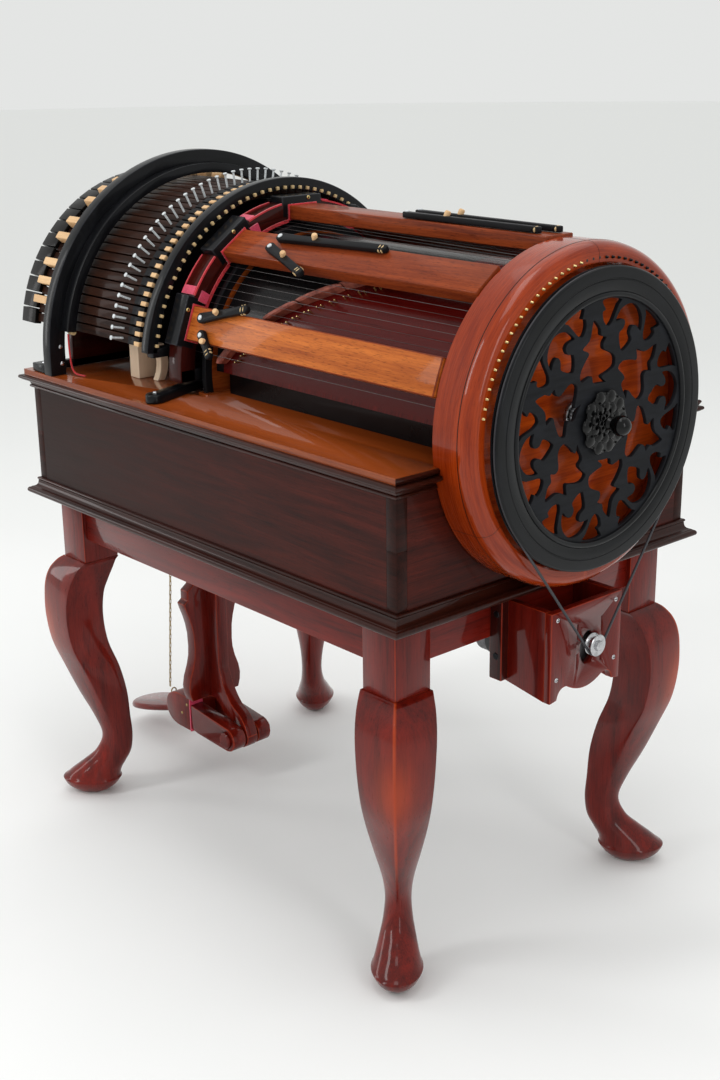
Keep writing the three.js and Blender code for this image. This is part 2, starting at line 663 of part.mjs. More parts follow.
const isSharp = (i) => KEY_NAMES[i % 12].endsWith('sharp');
const leverAngle = (i) => 90 + (i - (KEY_COUNT - 1) / 2) * KEY_PITCH;
const headAngle = (n) => 90 + (n - (NATURAL_COUNT - 1) / 2) * NATURAL_PITCH;

// Number of natural keys before key i, counted from the near side.
function naturalsBefore(i) {
  let count = 0;
  for (let k = 0; k < i; k += 1) if (!isSharp(k)) count += 1;
  return count;
}

// The stretch a natural's head and its own lever share, as a middle angle and a width in mm.
function sharedWidth(lever, head) {
  const degrees = (width) => THREE.MathUtils.radToDeg(width / KEY_LEVER_OUTER) / 2;
  const from = Math.max(lever - degrees(KEY_LEVER_WIDTH), head - degrees(KEY_HEAD_WIDTH));
  const to = Math.min(lever + degrees(KEY_LEVER_WIDTH), head + degrees(KEY_HEAD_WIDTH));
  return [(from + to) / 2, THREE.MathUtils.degToRad(to - from) * KEY_LEVER_OUTER - 0.6];
}

// A natural is a wide head joined to a narrow lever; a sharp is a lever with a raised block.
function keyParts(i) {
  const angle = leverAngle(i);
  const leverStart = KEY_HEAD_END + 1;
  const lever = radialBar([leverStart, KEY_LEVER_END], KEY_INNER, KEY_LEVER_OUTER, KEY_LEVER_WIDTH, angle);
  if (isSharp(i)) {
    return [lever, radialBar(SHARP_X, KEY_LEVER_OUTER - 1, SHARP_OUTER, KEY_LEVER_WIDTH - 0.4, angle)];
  }
  const middle = headAngle(naturalsBefore(i));
  const head = radialBar([KEY_TIP, KEY_HEAD_END], KEY_HEAD_INNER, KEY_HEAD_OUTER, KEY_HEAD_WIDTH, middle);
  const [neckAngle, neckWidth] = sharedWidth(angle, middle);
  const neck = radialBar([KEY_HEAD_END - 1, leverStart + 1], KEY_HEAD_INNER + 0.5, KEY_LEVER_OUTER - 0.5,
    neckWidth, neckAngle);
  return [lever, head, neck];
}

// The keys that are shown at rest only, held together by the rail under their levers.
function keyBankGeometry() {
  const from = leverAngle(MOVING_KEYS) - 1.4;
  const to = leverAngle(KEY_COUNT - 1) + 1.4;
  const parts = [extrudeX(arcShape(KEY_RAIL_INNER, KEY_INNER + 1, from, to), KEY_RAIL_X, 24)];
  for (let i = MOVING_KEYS; i < KEY_COUNT; i += 1) parts.push(...keyParts(i));
  return join(...parts);
}

function buildKeys() {
  add('key_end_frame', keyEndFrameGeometry(), BLACK);
  add('guide_arch', guideArchGeometry(), BLACK);
  add('key_arch', keyArchGeometry(), BLACK);
  add('red_cord', outward(redCordGeometry()), RED_CORD);
  for (let i = 0; i < MOVING_KEYS; i += 1) {
    const octave = i === 0 ? 7 : 6;
    add(`key_${KEY_NAMES[i]}${octave}`, join(...keyParts(i)), KEY_WOOD);
  }
  add('key_bank', keyBankGeometry(), KEY_WOOD);
}

// ---------------------------------------------------------------- motor and belt

// The lower edge of the box front: a flat at each corner, a hollow and a round belly.
function boxFrontShape() {
  const shape = new THREE.Shape();
  shape.moveTo(-BOX_HALF_WIDTH, BOX_TOP);
  shape.lineTo(-BOX_HALF_WIDTH, BOX_BOTTOM);
  shape.lineTo(-BOX_HALF_WIDTH + 14, BOX_BOTTOM + 2);
  shape.quadraticCurveTo(-BOX_HALF_WIDTH + 18, BOX_BOTTOM + 20, -BOX_HALF_WIDTH + 34, BOX_BOTTOM + 17);
  shape.quadraticCurveTo(0, BOX_BOTTOM - 6, BOX_HALF_WIDTH - 34, BOX_BOTTOM + 17);
  shape.quadraticCurveTo(BOX_HALF_WIDTH - 18, BOX_BOTTOM + 20, BOX_HALF_WIDTH - 14, BOX_BOTTOM + 2);
  shape.lineTo(BOX_HALF_WIDTH, BOX_BOTTOM);
  shape.lineTo(BOX_HALF_WIDTH, BOX_TOP);
  return shape;
}

// A panel front with an oval for the pulley's stub and a slot each side, two sides and a back.
function motorBoxGeometry() {
  const front = extrudeX(boxFrontShape(), [BOX_FRONT - BOX_WALL, BOX_FRONT], 8);
  const oval = new THREE.Shape();
  oval.absellipse(PULLEY_Y - 3, PULLEY_Z - 6, 16, 24, 0, 2 * Math.PI, false);
  const slots = [-24, 24].flatMap((y) => [-32, 10].map((z) => box(
    [BOX_FRONT - BOX_WALL - 1, BOX_FRONT + 1], [PULLEY_Y + y - 1.5, PULLEY_Y + y + 1.5],
    [PULLEY_Z + z, PULLEY_Z + z + 22])));
  const sideShape = polygon([
    [BOX_REAR, BOX_TOP], [BOX_REAR, BOX_BOTTOM + 12], [BOX_REAR + 26, BOX_BOTTOM + 8],
    [BOX_FRONT - BOX_WALL + 0.5, BOX_BOTTOM], [BOX_FRONT - BOX_WALL + 0.5, BOX_TOP],
  ]);
  const sides = [-1, 1].map((side) => {
    const y = [side * BOX_HALF_WIDTH, side * (BOX_HALF_WIDTH - BOX_WALL)].sort((a, b) => a - b);
    return extrudeY(sideShape, y);
  });
  const cleats = [-1, 1].map((side) => {
    const y = [side * (BOX_HALF_WIDTH - 1), side * (BOX_HALF_WIDTH + 11)].sort((a, b) => a - b);
    return box([LEG_CORNER_X - APRON_INSET + GAP, LEG_CORNER_X - APRON_INSET + 22],
      y, [BOX_BOTTOM + 14, CASE_BOTTOM - GAP]);
  });
  const back = box([BOX_REAR, BOX_REAR + BOX_WALL], [-BOX_HALF_WIDTH + 2, BOX_HALF_WIDTH - 2],
    [APRON_BOTTOM - 4, BOX_TOP]);
  const opening = extrudeX(oval, [BOX_FRONT - BOX_WALL - 1, BOX_FRONT + 1], 12);
  return cut(join(front, ...sides, ...cleats, back), opening, ...slots);
}

function motorGeometry() {
  const body = disc([302, BOX_REAR + 50], 30, 24, PULLEY_Y, MOTOR_Z);
  const band = disc([326, 342], 32, 24, PULLEY_Y, MOTOR_Z);
  const gearbox = box([BOX_REAR + 14, BOX_FRONT - BOX_WALL - 3], [PULLEY_Y - 24, PULLEY_Y + 24],
    [MOTOR_Z - 24, PULLEY_Z + 20]);
  const foot = box([305, 395], [PULLEY_Y - 22, PULLEY_Y + 22], [MOTOR_Z + 20, APRON_BOTTOM - 4.5]);
  return join(body, band, gearbox, foot);
}

// Belt centre line: round the flywheel's groove, straight to the pulley, round it and back.
function beltGeometry() {
  const big = FLYWHEEL_RADIUS - GROOVE_DEPTH + BELT_RADIUS + BELT_CLEARANCE;
  const small = PULLEY_GROOVE + BELT_RADIUS + BELT_CLEARANCE;
  const down = new THREE.Vector2(PULLEY_Y, PULLEY_Z - AXIS_Z);
  const distance = down.length();
  const lean = Math.atan2(down.y, down.x);
  const wrap = Math.acos((big - small) / distance);
  const points = [];
  const bigSteps = 30;
  for (let i = 0; i <= bigSteps; i += 1) {
    const turn = lean + wrap + (i / bigSteps) * (2 * Math.PI - 2 * wrap);
    points.push(new THREE.Vector3(BELT_X, big * Math.cos(turn), AXIS_Z + big * Math.sin(turn)));
  }
  const smallSteps = 6;
  for (let i = 0; i <= smallSteps; i += 1) {
    const turn = lean - wrap + (i / smallSteps) * 2 * wrap;
    points.push(new THREE.Vector3(
      BELT_X, PULLEY_Y + small * Math.cos(turn), PULLEY_Z + small * Math.sin(turn)));
  }
  const sides = 6;
  const vertices = [];
  points.forEach((point, i) => {
    const next = points[(i + 1) % points.length];
    const before = points[(i + points.length - 1) % points.length];
    const along = next.clone().sub(before).normalize();
    const across = new THREE.Vector3(0, -along.z, along.y);
    for (let k = 0; k < sides; k += 1) {
      const turn = (k * 2 * Math.PI) / sides;
      const offset = across.clone().multiplyScalar(BELT_RADIUS * Math.cos(turn));
      vertices.push(
        point.x + BELT_RADIUS * Math.sin(turn), point.y + offset.y, point.z + offset.z);
    }
  });
  const index = [];
  for (let i = 0; i < points.length; i += 1) {
    for (let k = 0; k < sides; k += 1) {
      const a = i * sides + k;
      const b = i * sides + ((k + 1) % sides);
      const c = ((i + 1) % points.length) * sides + ((k + 1) % sides);
      const d = ((i + 1) % points.length) * sides + k;
      index.push(a, b, c, a, c, d);
    }
  }
  const geometry = new THREE.BufferGeometry();
  geometry.setAttribute('position', new THREE.BufferAttribute(new Float32Array(vertices), 3));
  geometry.setIndex(index);
  return outward(geometry);
}

function buildMotor() {
  add('motor_box', motorBoxGeometry(), MAHOGANY);
  add('motor', motorGeometry(), MOTOR_METAL);
  const stubStart = BOX_FRONT - BOX_WALL - 2;
  add('motor_pulley', turned([
    [0, stubStart], [4, stubStart], [4, BELT_X - 6],
    [PULLEY_RADIUS, BELT_X - 6], [PULLEY_GROOVE, BELT_X - 2.5], [PULLEY_GROOVE, BELT_X + 2.5],
    [PULLEY_RADIUS, BELT_X + 6], [5, BELT_X + 6], [5, BELT_X + 10], [0, BELT_X + 10],
  ], 24, PULLEY_Y, PULLEY_Z), STEEL);
  add('drive_belt', beltGeometry(), BELT_RUBBER);
}

// ---------------------------------------------------------------- pedal

// The pin's hole or body: a cylinder along Y through the pedal's pivot.
function pedalPivot(radius, halfLength) {
  return new THREE.CylinderGeometry(radius, radius, 2 * halfLength, 28)
    .translate(PEDAL_PIVOT_X, PEDAL_Y, PEDAL_PIVOT_Z);
}

// Half width of the post's cross section at each height, from the foot up to the case.
const POST_FIN = [
  [124, 50], [152, 55], [187, 45], [220, 40], [245, 41], [280, 49], [306, 58], [312, 50],
  [328, 50], [345, 27], [CASE_BOTTOM - GAP, 26],
];

// A lyre-shaped post of two crossed blades; the one along X runs down to a foot round the pin.
function pedalPostGeometry() {
  const rightEdge = POST_FIN.slice(2).map(([z, half]) => [POST_X + Math.min(half, 38), z]).reverse();
  const leftEdge = POST_FIN.map(([z, half]) => [POST_X - half, z]);
  const outline = new THREE.Shape();
  outline.moveTo(...leftEdge[0]);
  for (const point of leftEdge.slice(1)) outline.lineTo(...point);
  for (const point of rightEdge) outline.lineTo(...point);
  outline.quadraticCurveTo(POST_X + 48, 145, PEDAL_PIVOT_X - 16, 122);
  outline.quadraticCurveTo(PEDAL_PIVOT_X + 14, 112, PEDAL_PIVOT_X + 21, PEDAL_PIVOT_Z + 4);
  outline.absarc(PEDAL_PIVOT_X, PEDAL_PIVOT_Z, 22, 0.15, -2.2, true);
  outline.quadraticCurveTo(PEDAL_PIVOT_X - 38, 104, POST_X + 24, 124);
  const blade = extrudeY(outline, [PEDAL_Y - 11, PEDAL_Y + 11], 8);
  const crossOutline = polygon([
    ...POST_FIN.map(([z, half]) => [PEDAL_Y - half, z]),
    ...POST_FIN.map(([z, half]) => [PEDAL_Y + half, z]).reverse(),
  ]);
  const cross = extrudeX(crossOutline, [POST_X - 11, POST_X + 11]);
  return cut(join(blade, cross), pedalPivot(PEG_RADIUS + GAP, 30));
}

// The foot plate: an outline seen from above, tapered at the block and round at the toe.
function plateOutline(grow) {
  const root = PEDAL_BLOCK_X[0] + 22;
  const shape = new THREE.Shape();
  shape.moveTo(root, -26 - grow);
  shape.lineTo(root, 26 + grow);
  shape.lineTo(PEDAL_BLOCK_X[0] - 18, 28 + grow);
  shape.bezierCurveTo(PEDAL_TIP + 85, 44 + grow, PEDAL_TIP, 50 + grow, PEDAL_TIP, 0);
  shape.bezierCurveTo(PEDAL_TIP, -50 - grow, PEDAL_TIP + 85, -44 - grow, PEDAL_BLOCK_X[0] - 18, -28 - grow);
  return shape;
}

function plateGeometry(grow) {
  const thickness = PLATE_THICKNESS + 2 * grow;
  return extrude(plateOutline(grow), thickness, 10)
    .translate(-PEDAL_BLOCK_X[0], 0, -thickness / 2)
    .rotateY(-THREE.MathUtils.degToRad(PLATE_SLOPE))
    .translate(PEDAL_BLOCK_X[0], PEDAL_Y, PLATE_ROOT_Z);
}

// Two arms from the pin to a cross block, which carries the foot plate and the chain.
function pedalLeverGeometry() {
  const armShape = new THREE.Shape();
  armShape.moveTo(PEDAL_BLOCK_X[1] - 1, 62);
  armShape.absarc(PEDAL_PIVOT_X, PEDAL_PIVOT_Z, 21, -Math.PI / 2, Math.PI / 2, false);
  armShape.lineTo(PEDAL_BLOCK_X[1] - 1, 107);
  const outer = PEDAL_HALF_WIDTH;
  const arms = [-1, 1].map((side) => {
    const y = [PEDAL_Y + side * outer, PEDAL_Y + side * (outer - 26)].sort((a, b) => a - b);
    return extrudeY(armShape, y, 8);
  });
  const blockShape = new THREE.Shape();
  blockShape.moveTo(PEDAL_BLOCK_X[1], 56);
  blockShape.lineTo(PEDAL_BLOCK_X[1], 118);
  blockShape.lineTo(PEDAL_BLOCK_X[0] + 30, 118);
  blockShape.quadraticCurveTo(PEDAL_BLOCK_X[0] - 2, 112, PEDAL_BLOCK_X[0], 84);
  blockShape.quadraticCurveTo(PEDAL_BLOCK_X[0] + 4, 58, PEDAL_BLOCK_X[0] + 36, 56);
  const block = extrudeY(blockShape, [PEDAL_Y - outer, PEDAL_Y + outer], 6);
  return cut(join(...arms, block), pedalPivot(PEG_RADIUS + GAP, 60), plateGeometry(GAP));
}

// The chain leans a little from the block's eye up to the notch in the case's bottom board.
function chainGeometry() {
  const [bottomX, bottomZ] = CHAIN_BOTTOM;
  const [topX, topZ] = CHAIN_TOP;
  const half = CHAIN_HALF_WIDTH;
  const outline = polygon([
    [bottomX - half, bottomZ], [bottomX + half, bottomZ], [topX + half, topZ], [topX - half, topZ],
  ]);
  return extrudeY(outline, [CHAIN_Y - half, CHAIN_Y + half]);
}

function buildPedal() {
  add('pedal_post', pedalPostGeometry(), MAHOGANY);
  add('pedal_lever', pedalLeverGeometry(), MAHOGANY);
  add('pedal_plate', plateGeometry(0), MAHOGANY);
  add('pedal_pin', pedalPivot(PEG_RADIUS, PEDAL_HALF_WIDTH + 6), MAHOGANY);
  add('pedal_chain', chainGeometry(), BRASS);
}

// ---------------------------------------------------------------- stop levers

// Levers that lie on the beams: pivot and tip as [x, offset towards the top of the beam].
const STOP_LEVERS = [
  { name: 'stop_lever_a', beam: 0, pivot: [-52, 9], tip: [40, 33], width: 15 },
  { name: 'stop_lever_b', beam: 0, pivot: [-43, -14], tip: [-16, -40], width: 14 },
  { name: 'stop_lever_c', beam: 1, pivot: [14, -8], tip: [112, -44], width: 15 },
  { name: 'stop_lever_d', beam: 1, pivot: [16, 13], tip: [224, 20], width: 13 },
  { name: 'stop_lever_e', beam: 2, pivot: [158, -15], tip: [398, -15], width: 12 },
  { name: 'stop_lever_f', beam: 2, pivot: [155, 12], tip: [412, 9], width: 12 },
];
const LEVER_THICKNESS = 8;
const LEVER_CLEARANCE = 1;
const LEVER_KNOB_RADIUS = 5.5;
const LEVER_KNOB_HEIGHT = 9;
const DECK_LEVER_PIVOT = [-131, -164];

// A flat bar with round ends and a grip on its upper face, lying on its beam.
function stopLeverGeometry({ beam, pivot, tip, width }) {
  const length = Math.hypot(tip[0] - pivot[0], tip[1] - pivot[1]);
  const turn = Math.atan2(tip[1] - pivot[1], tip[0] - pivot[0]);
  const half = width / 2;
  const shape = new THREE.Shape();
  shape.absarc(0, 0, half, Math.PI / 2, (3 * Math.PI) / 2, false);
  shape.absarc(length, 0, half * 0.85, -Math.PI / 2, Math.PI / 2, false);
  const bar = extrude(shape, LEVER_THICKNESS, 6);
  const grip = new THREE.CylinderGeometry(LEVER_KNOB_RADIUS * 0.8, LEVER_KNOB_RADIUS, LEVER_KNOB_HEIGHT, 12)
    .rotateX(Math.PI / 2)
    .translate(Math.min(length * 0.35, 75), 0, LEVER_THICKNESS + LEVER_KNOB_HEIGHT / 2 - 1);
  const lever = join(bar, grip)
    .rotateZ(turn)
    .translate(pivot[0], pivot[1], AXIS_Z + BEAM_RADIUS + LEVER_CLEARANCE);
  return aroundDrum(lever, BEAM_ANGLES[beam]);
}

// The lever on the deck: a flat bar from its pivot behind the guide's leg to the front edge.
function deckLeverGeometry() {
  const [pivotX, pivotY] = DECK_LEVER_PIVOT;
  const shape = new THREE.Shape();
  shape.absarc(pivotX, pivotY, 13, 0.1, Math.PI + 0.2, false);
  shape.lineTo(pivotX, pivotY - 26);
  shape.lineTo(pivotX + 24, pivotY - 100);
  shape.quadraticCurveTo(pivotX + 24, pivotY - 122, pivotX + 40, pivotY - 124);
  shape.quadraticCurveTo(pivotX + 54, pivotY - 122, pivotX + 52, pivotY - 104);
  shape.lineTo(pivotX + 20, pivotY - 24);
  return extrude(shape, 13, 8).translate(0, 0, CASE_TOP + GAP);
}

function buildLevers() {
  for (const lever of STOP_LEVERS) add(lever.name, stopLeverGeometry(lever), BLACK);
  add('deck_lever', deckLeverGeometry(), BLACK);
}

// ---------------------------------------------------------------- assembly

buildStand();
buildCase();
buildHoop();
buildBeams();
buildSoundboard();
buildDrive();
buildKeys();
buildMotor();
buildPedal();
buildLevers();

// The origin is on the floor, under the middle of the whole object.
const bounds = new THREE.Box3().setFromObject(instrument);
instrument.position.x = -(bounds.min.x + bounds.max.x) / 2;

export default instrument;
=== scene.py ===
"""Looks of a wheel-bowed keyboard instrument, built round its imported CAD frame.

Pieces are made in case millimetres: x = 0, y = 0 in the middle of the case, z = 0 on the floor,
+x towards the flywheel and -y the near side. piece() turns them into the frame's metres.
Angles round the drum run from 0 at the near side to 90 on top.
"""
import json
import math
import random

import bmesh
import bpy
from mathutils import Matrix, Vector


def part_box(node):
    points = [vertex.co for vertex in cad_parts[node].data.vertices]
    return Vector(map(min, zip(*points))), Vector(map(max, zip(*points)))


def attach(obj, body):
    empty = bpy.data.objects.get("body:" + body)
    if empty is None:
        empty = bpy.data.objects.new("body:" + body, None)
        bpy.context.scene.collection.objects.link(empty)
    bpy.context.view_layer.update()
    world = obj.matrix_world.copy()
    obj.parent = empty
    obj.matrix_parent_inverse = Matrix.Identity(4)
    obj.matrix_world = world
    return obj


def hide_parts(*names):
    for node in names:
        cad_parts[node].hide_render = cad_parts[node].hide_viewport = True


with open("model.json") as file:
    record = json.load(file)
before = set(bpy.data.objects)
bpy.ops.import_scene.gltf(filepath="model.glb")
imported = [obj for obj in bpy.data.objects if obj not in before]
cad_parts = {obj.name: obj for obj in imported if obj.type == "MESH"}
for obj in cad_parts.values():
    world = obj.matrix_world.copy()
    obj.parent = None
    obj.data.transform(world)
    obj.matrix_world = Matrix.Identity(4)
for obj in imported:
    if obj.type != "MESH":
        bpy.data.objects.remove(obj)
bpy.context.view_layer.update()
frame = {"nodes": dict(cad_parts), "record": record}

# ------------------------------------------------------------------ the frame's own sizes

MM = 0.001
JOINTS = {joint["name"]: joint for joint in frame["record"]["behaviour"]["joints"]}
SHIFT_X = sum(corner.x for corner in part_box("case_frame")) / 2
AXIS_Z = JOINTS["wheel_spin"]["pos_m"][2] / MM


def span(node):
    """Lowest and highest corner of a CAD node, in case millimetres."""
    return [Vector((c.x - SHIFT_X, c.y, c.z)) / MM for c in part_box(node)]


def pivot(joint):
    """A hinge's point, in case millimetres."""
    x, y, z = JOINTS[joint]["pos_m"]
    return Vector(((x - SHIFT_X) / MM, y / MM, z / MM))


CASE_LOW, CASE_HIGH = span("case_frame")
MOULDING_HIGH = span("moulding_top")[1]
TOP_MOULDING_Z = [corner.z for corner in span("moulding_top")]
BASE_MOULDING_Z = [corner.z for corner in span("moulding_base")]
DECK_LOW, DECK_HIGH = span("deck")
DECK_Z = DECK_HIGH.z
HOOP_X = [corner.x for corner in span("hoop_ring")]
HOOP_RADIUS = span("hoop_ring")[1].y
HOOP_OPENING = span("hoop_board")[1].y + 0.6
BEAM_X = [corner.x for corner in span("beam_3")]
BEAM_R = [corner.z - AXIS_Z for corner in span("beam_3")]
BEAM_WIDTH = 2 * span("beam_3")[1].y
SOUNDBOARD_X = [corner.x for corner in span("soundboard")]
SOUNDBOARD_R = span("soundboard")[1].y
FLYWHEEL_X = [corner.x for corner in span("flywheel")]
FLYWHEEL_R = span("flywheel")[1].y
ROSETTE_X = [corner.x for corner in span("hub_rosette")]
ROSETTE_R = span("hub_rosette")[1].y
KNOB_X = [corner.x for corner in span("knob")]
KNOB_R = span("knob")[1].y
BOW_X = [corner.x for corner in span("bowing_wheel")]
BOW_R = span("bowing_wheel")[1].y
ARCH_LOW = span("key_arch")[0]
GUIDE_LOW, GUIDE_HIGH = span("guide_arch")
FRAME_LOW, FRAME_HIGH = span("key_end_frame")
BOX_LOW, BOX_HIGH = span("motor_box")
PULLEY = pivot("motor_spin")
PEDAL = pivot("pedal_press")
LEG_TOP = span("leg_front_right")[1].z
APRON_LOW, APRON_HIGH = span("apron_front")

GAP = 0.3
BEAM_ANGLES = [20, 55, 90, 125, 160]
KEY_COUNT = 49
NATURAL_COUNT = 29
KEY_PITCH = 3.346        # degrees between key levers, and between strings
NATURAL_PITCH = 5.717    # degrees between natural heads
KEY_NAMES = ["c", "b", "a_sharp", "a", "g_sharp", "g", "f_sharp", "f", "e", "d_sharp", "d", "c_sharp"]
MOVING_KEYS = 12
BEVELLED_ANGLE = math.radians(30)      # edges sharper than this are bevelled
CUT_REACH = 600          # longer than anything cut
RANDOM = random.Random(7)


# ------------------------------------------------------------------ grain directions

def along_x(p):
    return Vector((p.x, p.y, p.z))


def along_y(p):
    return Vector((p.y, p.x, p.z))


def along_z(p):
    return Vector((p.z, p.x, p.y))


def around(p):
    """Grain that runs round the drum's axis, with its join at the bottom."""
    y, z = p.y, p.z - AXIS_Z
    radius = math.hypot(y, z)
    return Vector((math.atan2(y, z) * radius, radius, p.x))


# ------------------------------------------------------------------ building shapes

def polar(x, radius, angle, offset=0):
    """A point round the drum; offset is along the circle's tangent, towards the top."""
    turn = math.radians(angle)
    y = -radius * math.cos(turn) + offset * math.sin(turn)
    z = radius * math.sin(turn) + offset * math.cos(turn)
    return Vector((x, y, AXIS_Z + z))


BLOCK_FACES = [(0, 1, 3, 2), (4, 6, 7, 5), (0, 4, 5, 1), (2, 3, 7, 6), (0, 2, 6, 4), (1, 5, 7, 3)]


def block(x, y, z):
    """A box between two values of x, y and z."""
    return [Vector((a, b, c)) for a in x for b in y for c in z], BLOCK_FACES


def radial_block(x, radius, width, angle):
    """A block whose width lies along the drum's tangent at that angle."""
    verts = [polar(a, c, angle, b) for a in x for b in (-width / 2, width / 2) for c in radius]
    return verts, BLOCK_FACES


def prism_faces(count):
    """Faces of a solid between two outlines of count points."""
    faces = [tuple(range(count)), tuple(range(2 * count - 1, count - 1, -1))]
    for i in range(count):
        j = (i + 1) % count
        faces.append((i, count + i, count + j, j))
    return faces


def prism(outline, place, depth):
    """A flat outline given depth; place(u, v, w) puts a point in space."""
    verts = [place(u, v, w) for w in depth for u, v in outline]
    return verts, prism_faces(len(outline))


def turns(count):
    """That many equal steps round a whole turn."""
    return [2 * math.pi * i / count for i in range(count)]


def mirrored(side, near, far):
    """The two distances on one side of the middle, lowest first; side is -1 or 1."""
    return sorted((side * near, side * far))


def on_yz(u, v, w):
    return Vector((w, u, v))


def on_xz(u, v, w):
    return Vector((u, w, v))


def on_xy(u, v, w):
    return Vector((u, v, w))


def turned(profile, segments=24, origin=None, axis=(1, 0, 0), closed=False, sweep=None):
    """A profile of (radius, distance along the axis), turned round it; sweep limits it to two angles."""
    origin = Vector((0, 0, AXIS_Z)) if origin is None else Vector(origin)
    axis = Vector(axis).normalized()
    side = Vector((0, -1, 0)) if abs(axis.x) > 0.9 else axis.orthogonal().normalized()
    other = side.cross(axis)
    start, end = (0, 360) if sweep is None else sweep
    steps = segments if sweep is None else segments + 1
    verts, rows = [], []
    for radius, distance in profile:
        centre = origin + axis * distance
        if radius < 1e-6:
            rows.append([len(verts)] * steps)
            verts.append(centre)
            continue
        rows.append(list(range(len(verts), len(verts) + steps)))
        for i in range(steps):
            turn = math.radians(start + (end - start) * i / segments)
            verts.append(centre + (side * math.cos(turn) + other * math.sin(turn)) * radius)
    pairs = list(zip(rows, rows[1:]))
    if closed:
        pairs.append((rows[-1], rows[0]))
    faces = []
    for low, high in pairs:
        for i in range(segments):
            j = (i + 1) % steps
            corners = list(dict.fromkeys((low[i], low[j], high[j], high[i])))
            if len(corners) > 2:
                faces.append(tuple(corners))
    if sweep is not None:
        faces.append(tuple(row[0] for row in rows))
        faces.append(tuple(row[-1] for row in reversed(rows)))
    return verts, faces


def ball(centre, radius, segments=14, axis=(0, 0, 1), stretch=1.0, from_turn=-90):
    """A ball, or from_turn=0 a dome, stretched along its axis."""
    steps = segments // 2
    profile = []
    for i in range(steps + 1):
        turn = math.radians(from_turn + (90 - from_turn) * i / steps)
        profile.append((radius * max(0.0, math.cos(turn)), radius * stretch * math.sin(turn)))
    profile[-1] = (0, radius * stretch)
    profile.insert(0, (0, profile[0][1]))
    if profile[1][0] < 1e-6:
        profile.pop(1)
    return turned(profile, segments, centre, axis)


def tube(points, radius, sides=8, closed=False):
    """A round tube along points; radius is a number or one number for each point."""
    points = [Vector(p) for p in points]
    count = len(points)
    radii = radius if isinstance(radius, list) else [radius] * count
    verts, faces = [], []
    normal = None
    for i, point in enumerate(points):
        before = points[i - 1] if i > 0 or closed else point
        after = points[(i + 1) % count] if i < count - 1 or closed else point
        tangent = (after - before).normalized()
        if normal is None:
            normal = tangent.orthogonal().normalized()
        normal = (normal - tangent * normal.dot(tangent)).normalized()
        across = tangent.cross(normal)
        for k in range(sides):
            turn = 2 * math.pi * k / sides
            verts.append(point + (normal * math.cos(turn) + across * math.sin(turn)) * radii[i])
    for i in range(count if closed else count - 1):
        for k in range(sides):
            a, b = i * sides + k, i * sides + (k + 1) % sides
            c, d = ((i + 1) % count) * sides + (k + 1) % sides, ((i + 1) % count) * sides + k
            faces.append((a, b, c, d))
    if not closed:
        faces.append(tuple(reversed(range(sides))))
        faces.append(tuple(range((count - 1) * sides, count * sides)))
    return verts, faces


def arc(centre, radius, start, end, steps):
    """Points of a flat arc, ends included; angles in degrees."""
    turns = [math.radians(start + (end - start) * i / steps) for i in range(steps + 1)]
    return [(centre[0] + radius * math.cos(t), centre[1] + radius * math.sin(t)) for t in turns]


def curve(*points, steps=8):
    """A flat Bezier curve through 3 or 4 control points, first point left out."""
    found = []
    for i in range(1, steps + 1):
        level, t = [Vector(p) for p in points], i / steps
        while len(level) > 1:
            level = [a.lerp(b, t) for a, b in zip(level, level[1:])]
        found.append(tuple(level[0]))
    return found


def smooth_loop(points, steps=5):
    """A closed Catmull-Rom curve through flat points."""
    count, found = len(points), []
    for i in range(count):
        p = [Vector(points[(i + k - 1) % count]) for k in range(4)]
        for s in range(steps):
            t = s / steps
            found.append(tuple(0.5 * (
                2 * p[1] + (p[2] - p[0]) * t + (2 * p[0] - 5 * p[1] + 4 * p[2] - p[3]) * t * t
                + (3 * p[1] - p[0] - 3 * p[2] + p[3]) * t ** 3)))
    return found


def smooth_rows(rows, steps):
    """Rows of numbers filled in by Catmull-Rom curves, first and last row kept."""
    last, found = len(rows) - 1, []
    for i in range(last):
        p = [rows[min(max(i + k - 1, 0), last)] for k in range(4)]
        for s in range(steps):
            t = s / steps
            found.append([0.5 * (2 * b + (c - a) * t + (2 * a - 5 * b + 4 * c - d) * t * t
                                 + (3 * b - a - 3 * c + d) * t ** 3) for a, b, c, d in zip(*p)])
    return found + [list(rows[-1])]


class Shape:
    """A piece in the making. Every vertex also holds its place in the wood's grain and how much painted
    highlight it gets.
    """

    def __init__(self):
        self.bm = bmesh.new()
        self.bm.verts.layers.float_vector.new("grain")
        self.bm.verts.layers.float.new("wear")

    def add(self, solid, grain=along_x, material=0, bevel=0.0, edge=None, rounds=2, wear=None):
        """Adds (vertices, faces), with bevelled edges. edge is the bevels' material, and the last argument a
        function from a point to how much painted highlight it gets, 0 to 1."""
        verts, faces = solid
        part = bmesh.new()
        place = part.verts.layers.float_vector.new("grain")
        painted_lit = part.verts.layers.float.new("wear")
        made = [part.verts.new(v) for v in verts]
        for face in faces:
            part.faces.new([made[i] for i in face]).material_index = material
        bmesh.ops.recalc_face_normals(part, faces=part.faces[:])
        if bevel:
            edges = [e for e in part.edges
                     if len(e.link_faces) == 2 and e.calc_face_angle() > BEVELLED_ANGLE]
            bmesh.ops.bevel(part, geom=edges, offset=bevel, offset_type="OFFSET", segments=rounds,
                            profile=0.5, affect="EDGES", clamp_overlap=True,
                            material=-1 if edge is None else edge)
        start = Vector((RANDOM.uniform(0, 9), RANDOM.uniform(0, 9), RANDOM.uniform(0, 9)))
        for v in part.verts:
            v[place] = grain(v.co) * MM + start
            # Each vertex's amount of painted highlight, 0 unless a function is given.
            v[painted_lit] = wear(v.co) if wear else 0.0
        copied = bpy.data.meshes.new("part")
        part.to_mesh(copied)
        part.free()
        self.bm.from_mesh(copied)
        bpy.data.meshes.remove(copied)
        return self


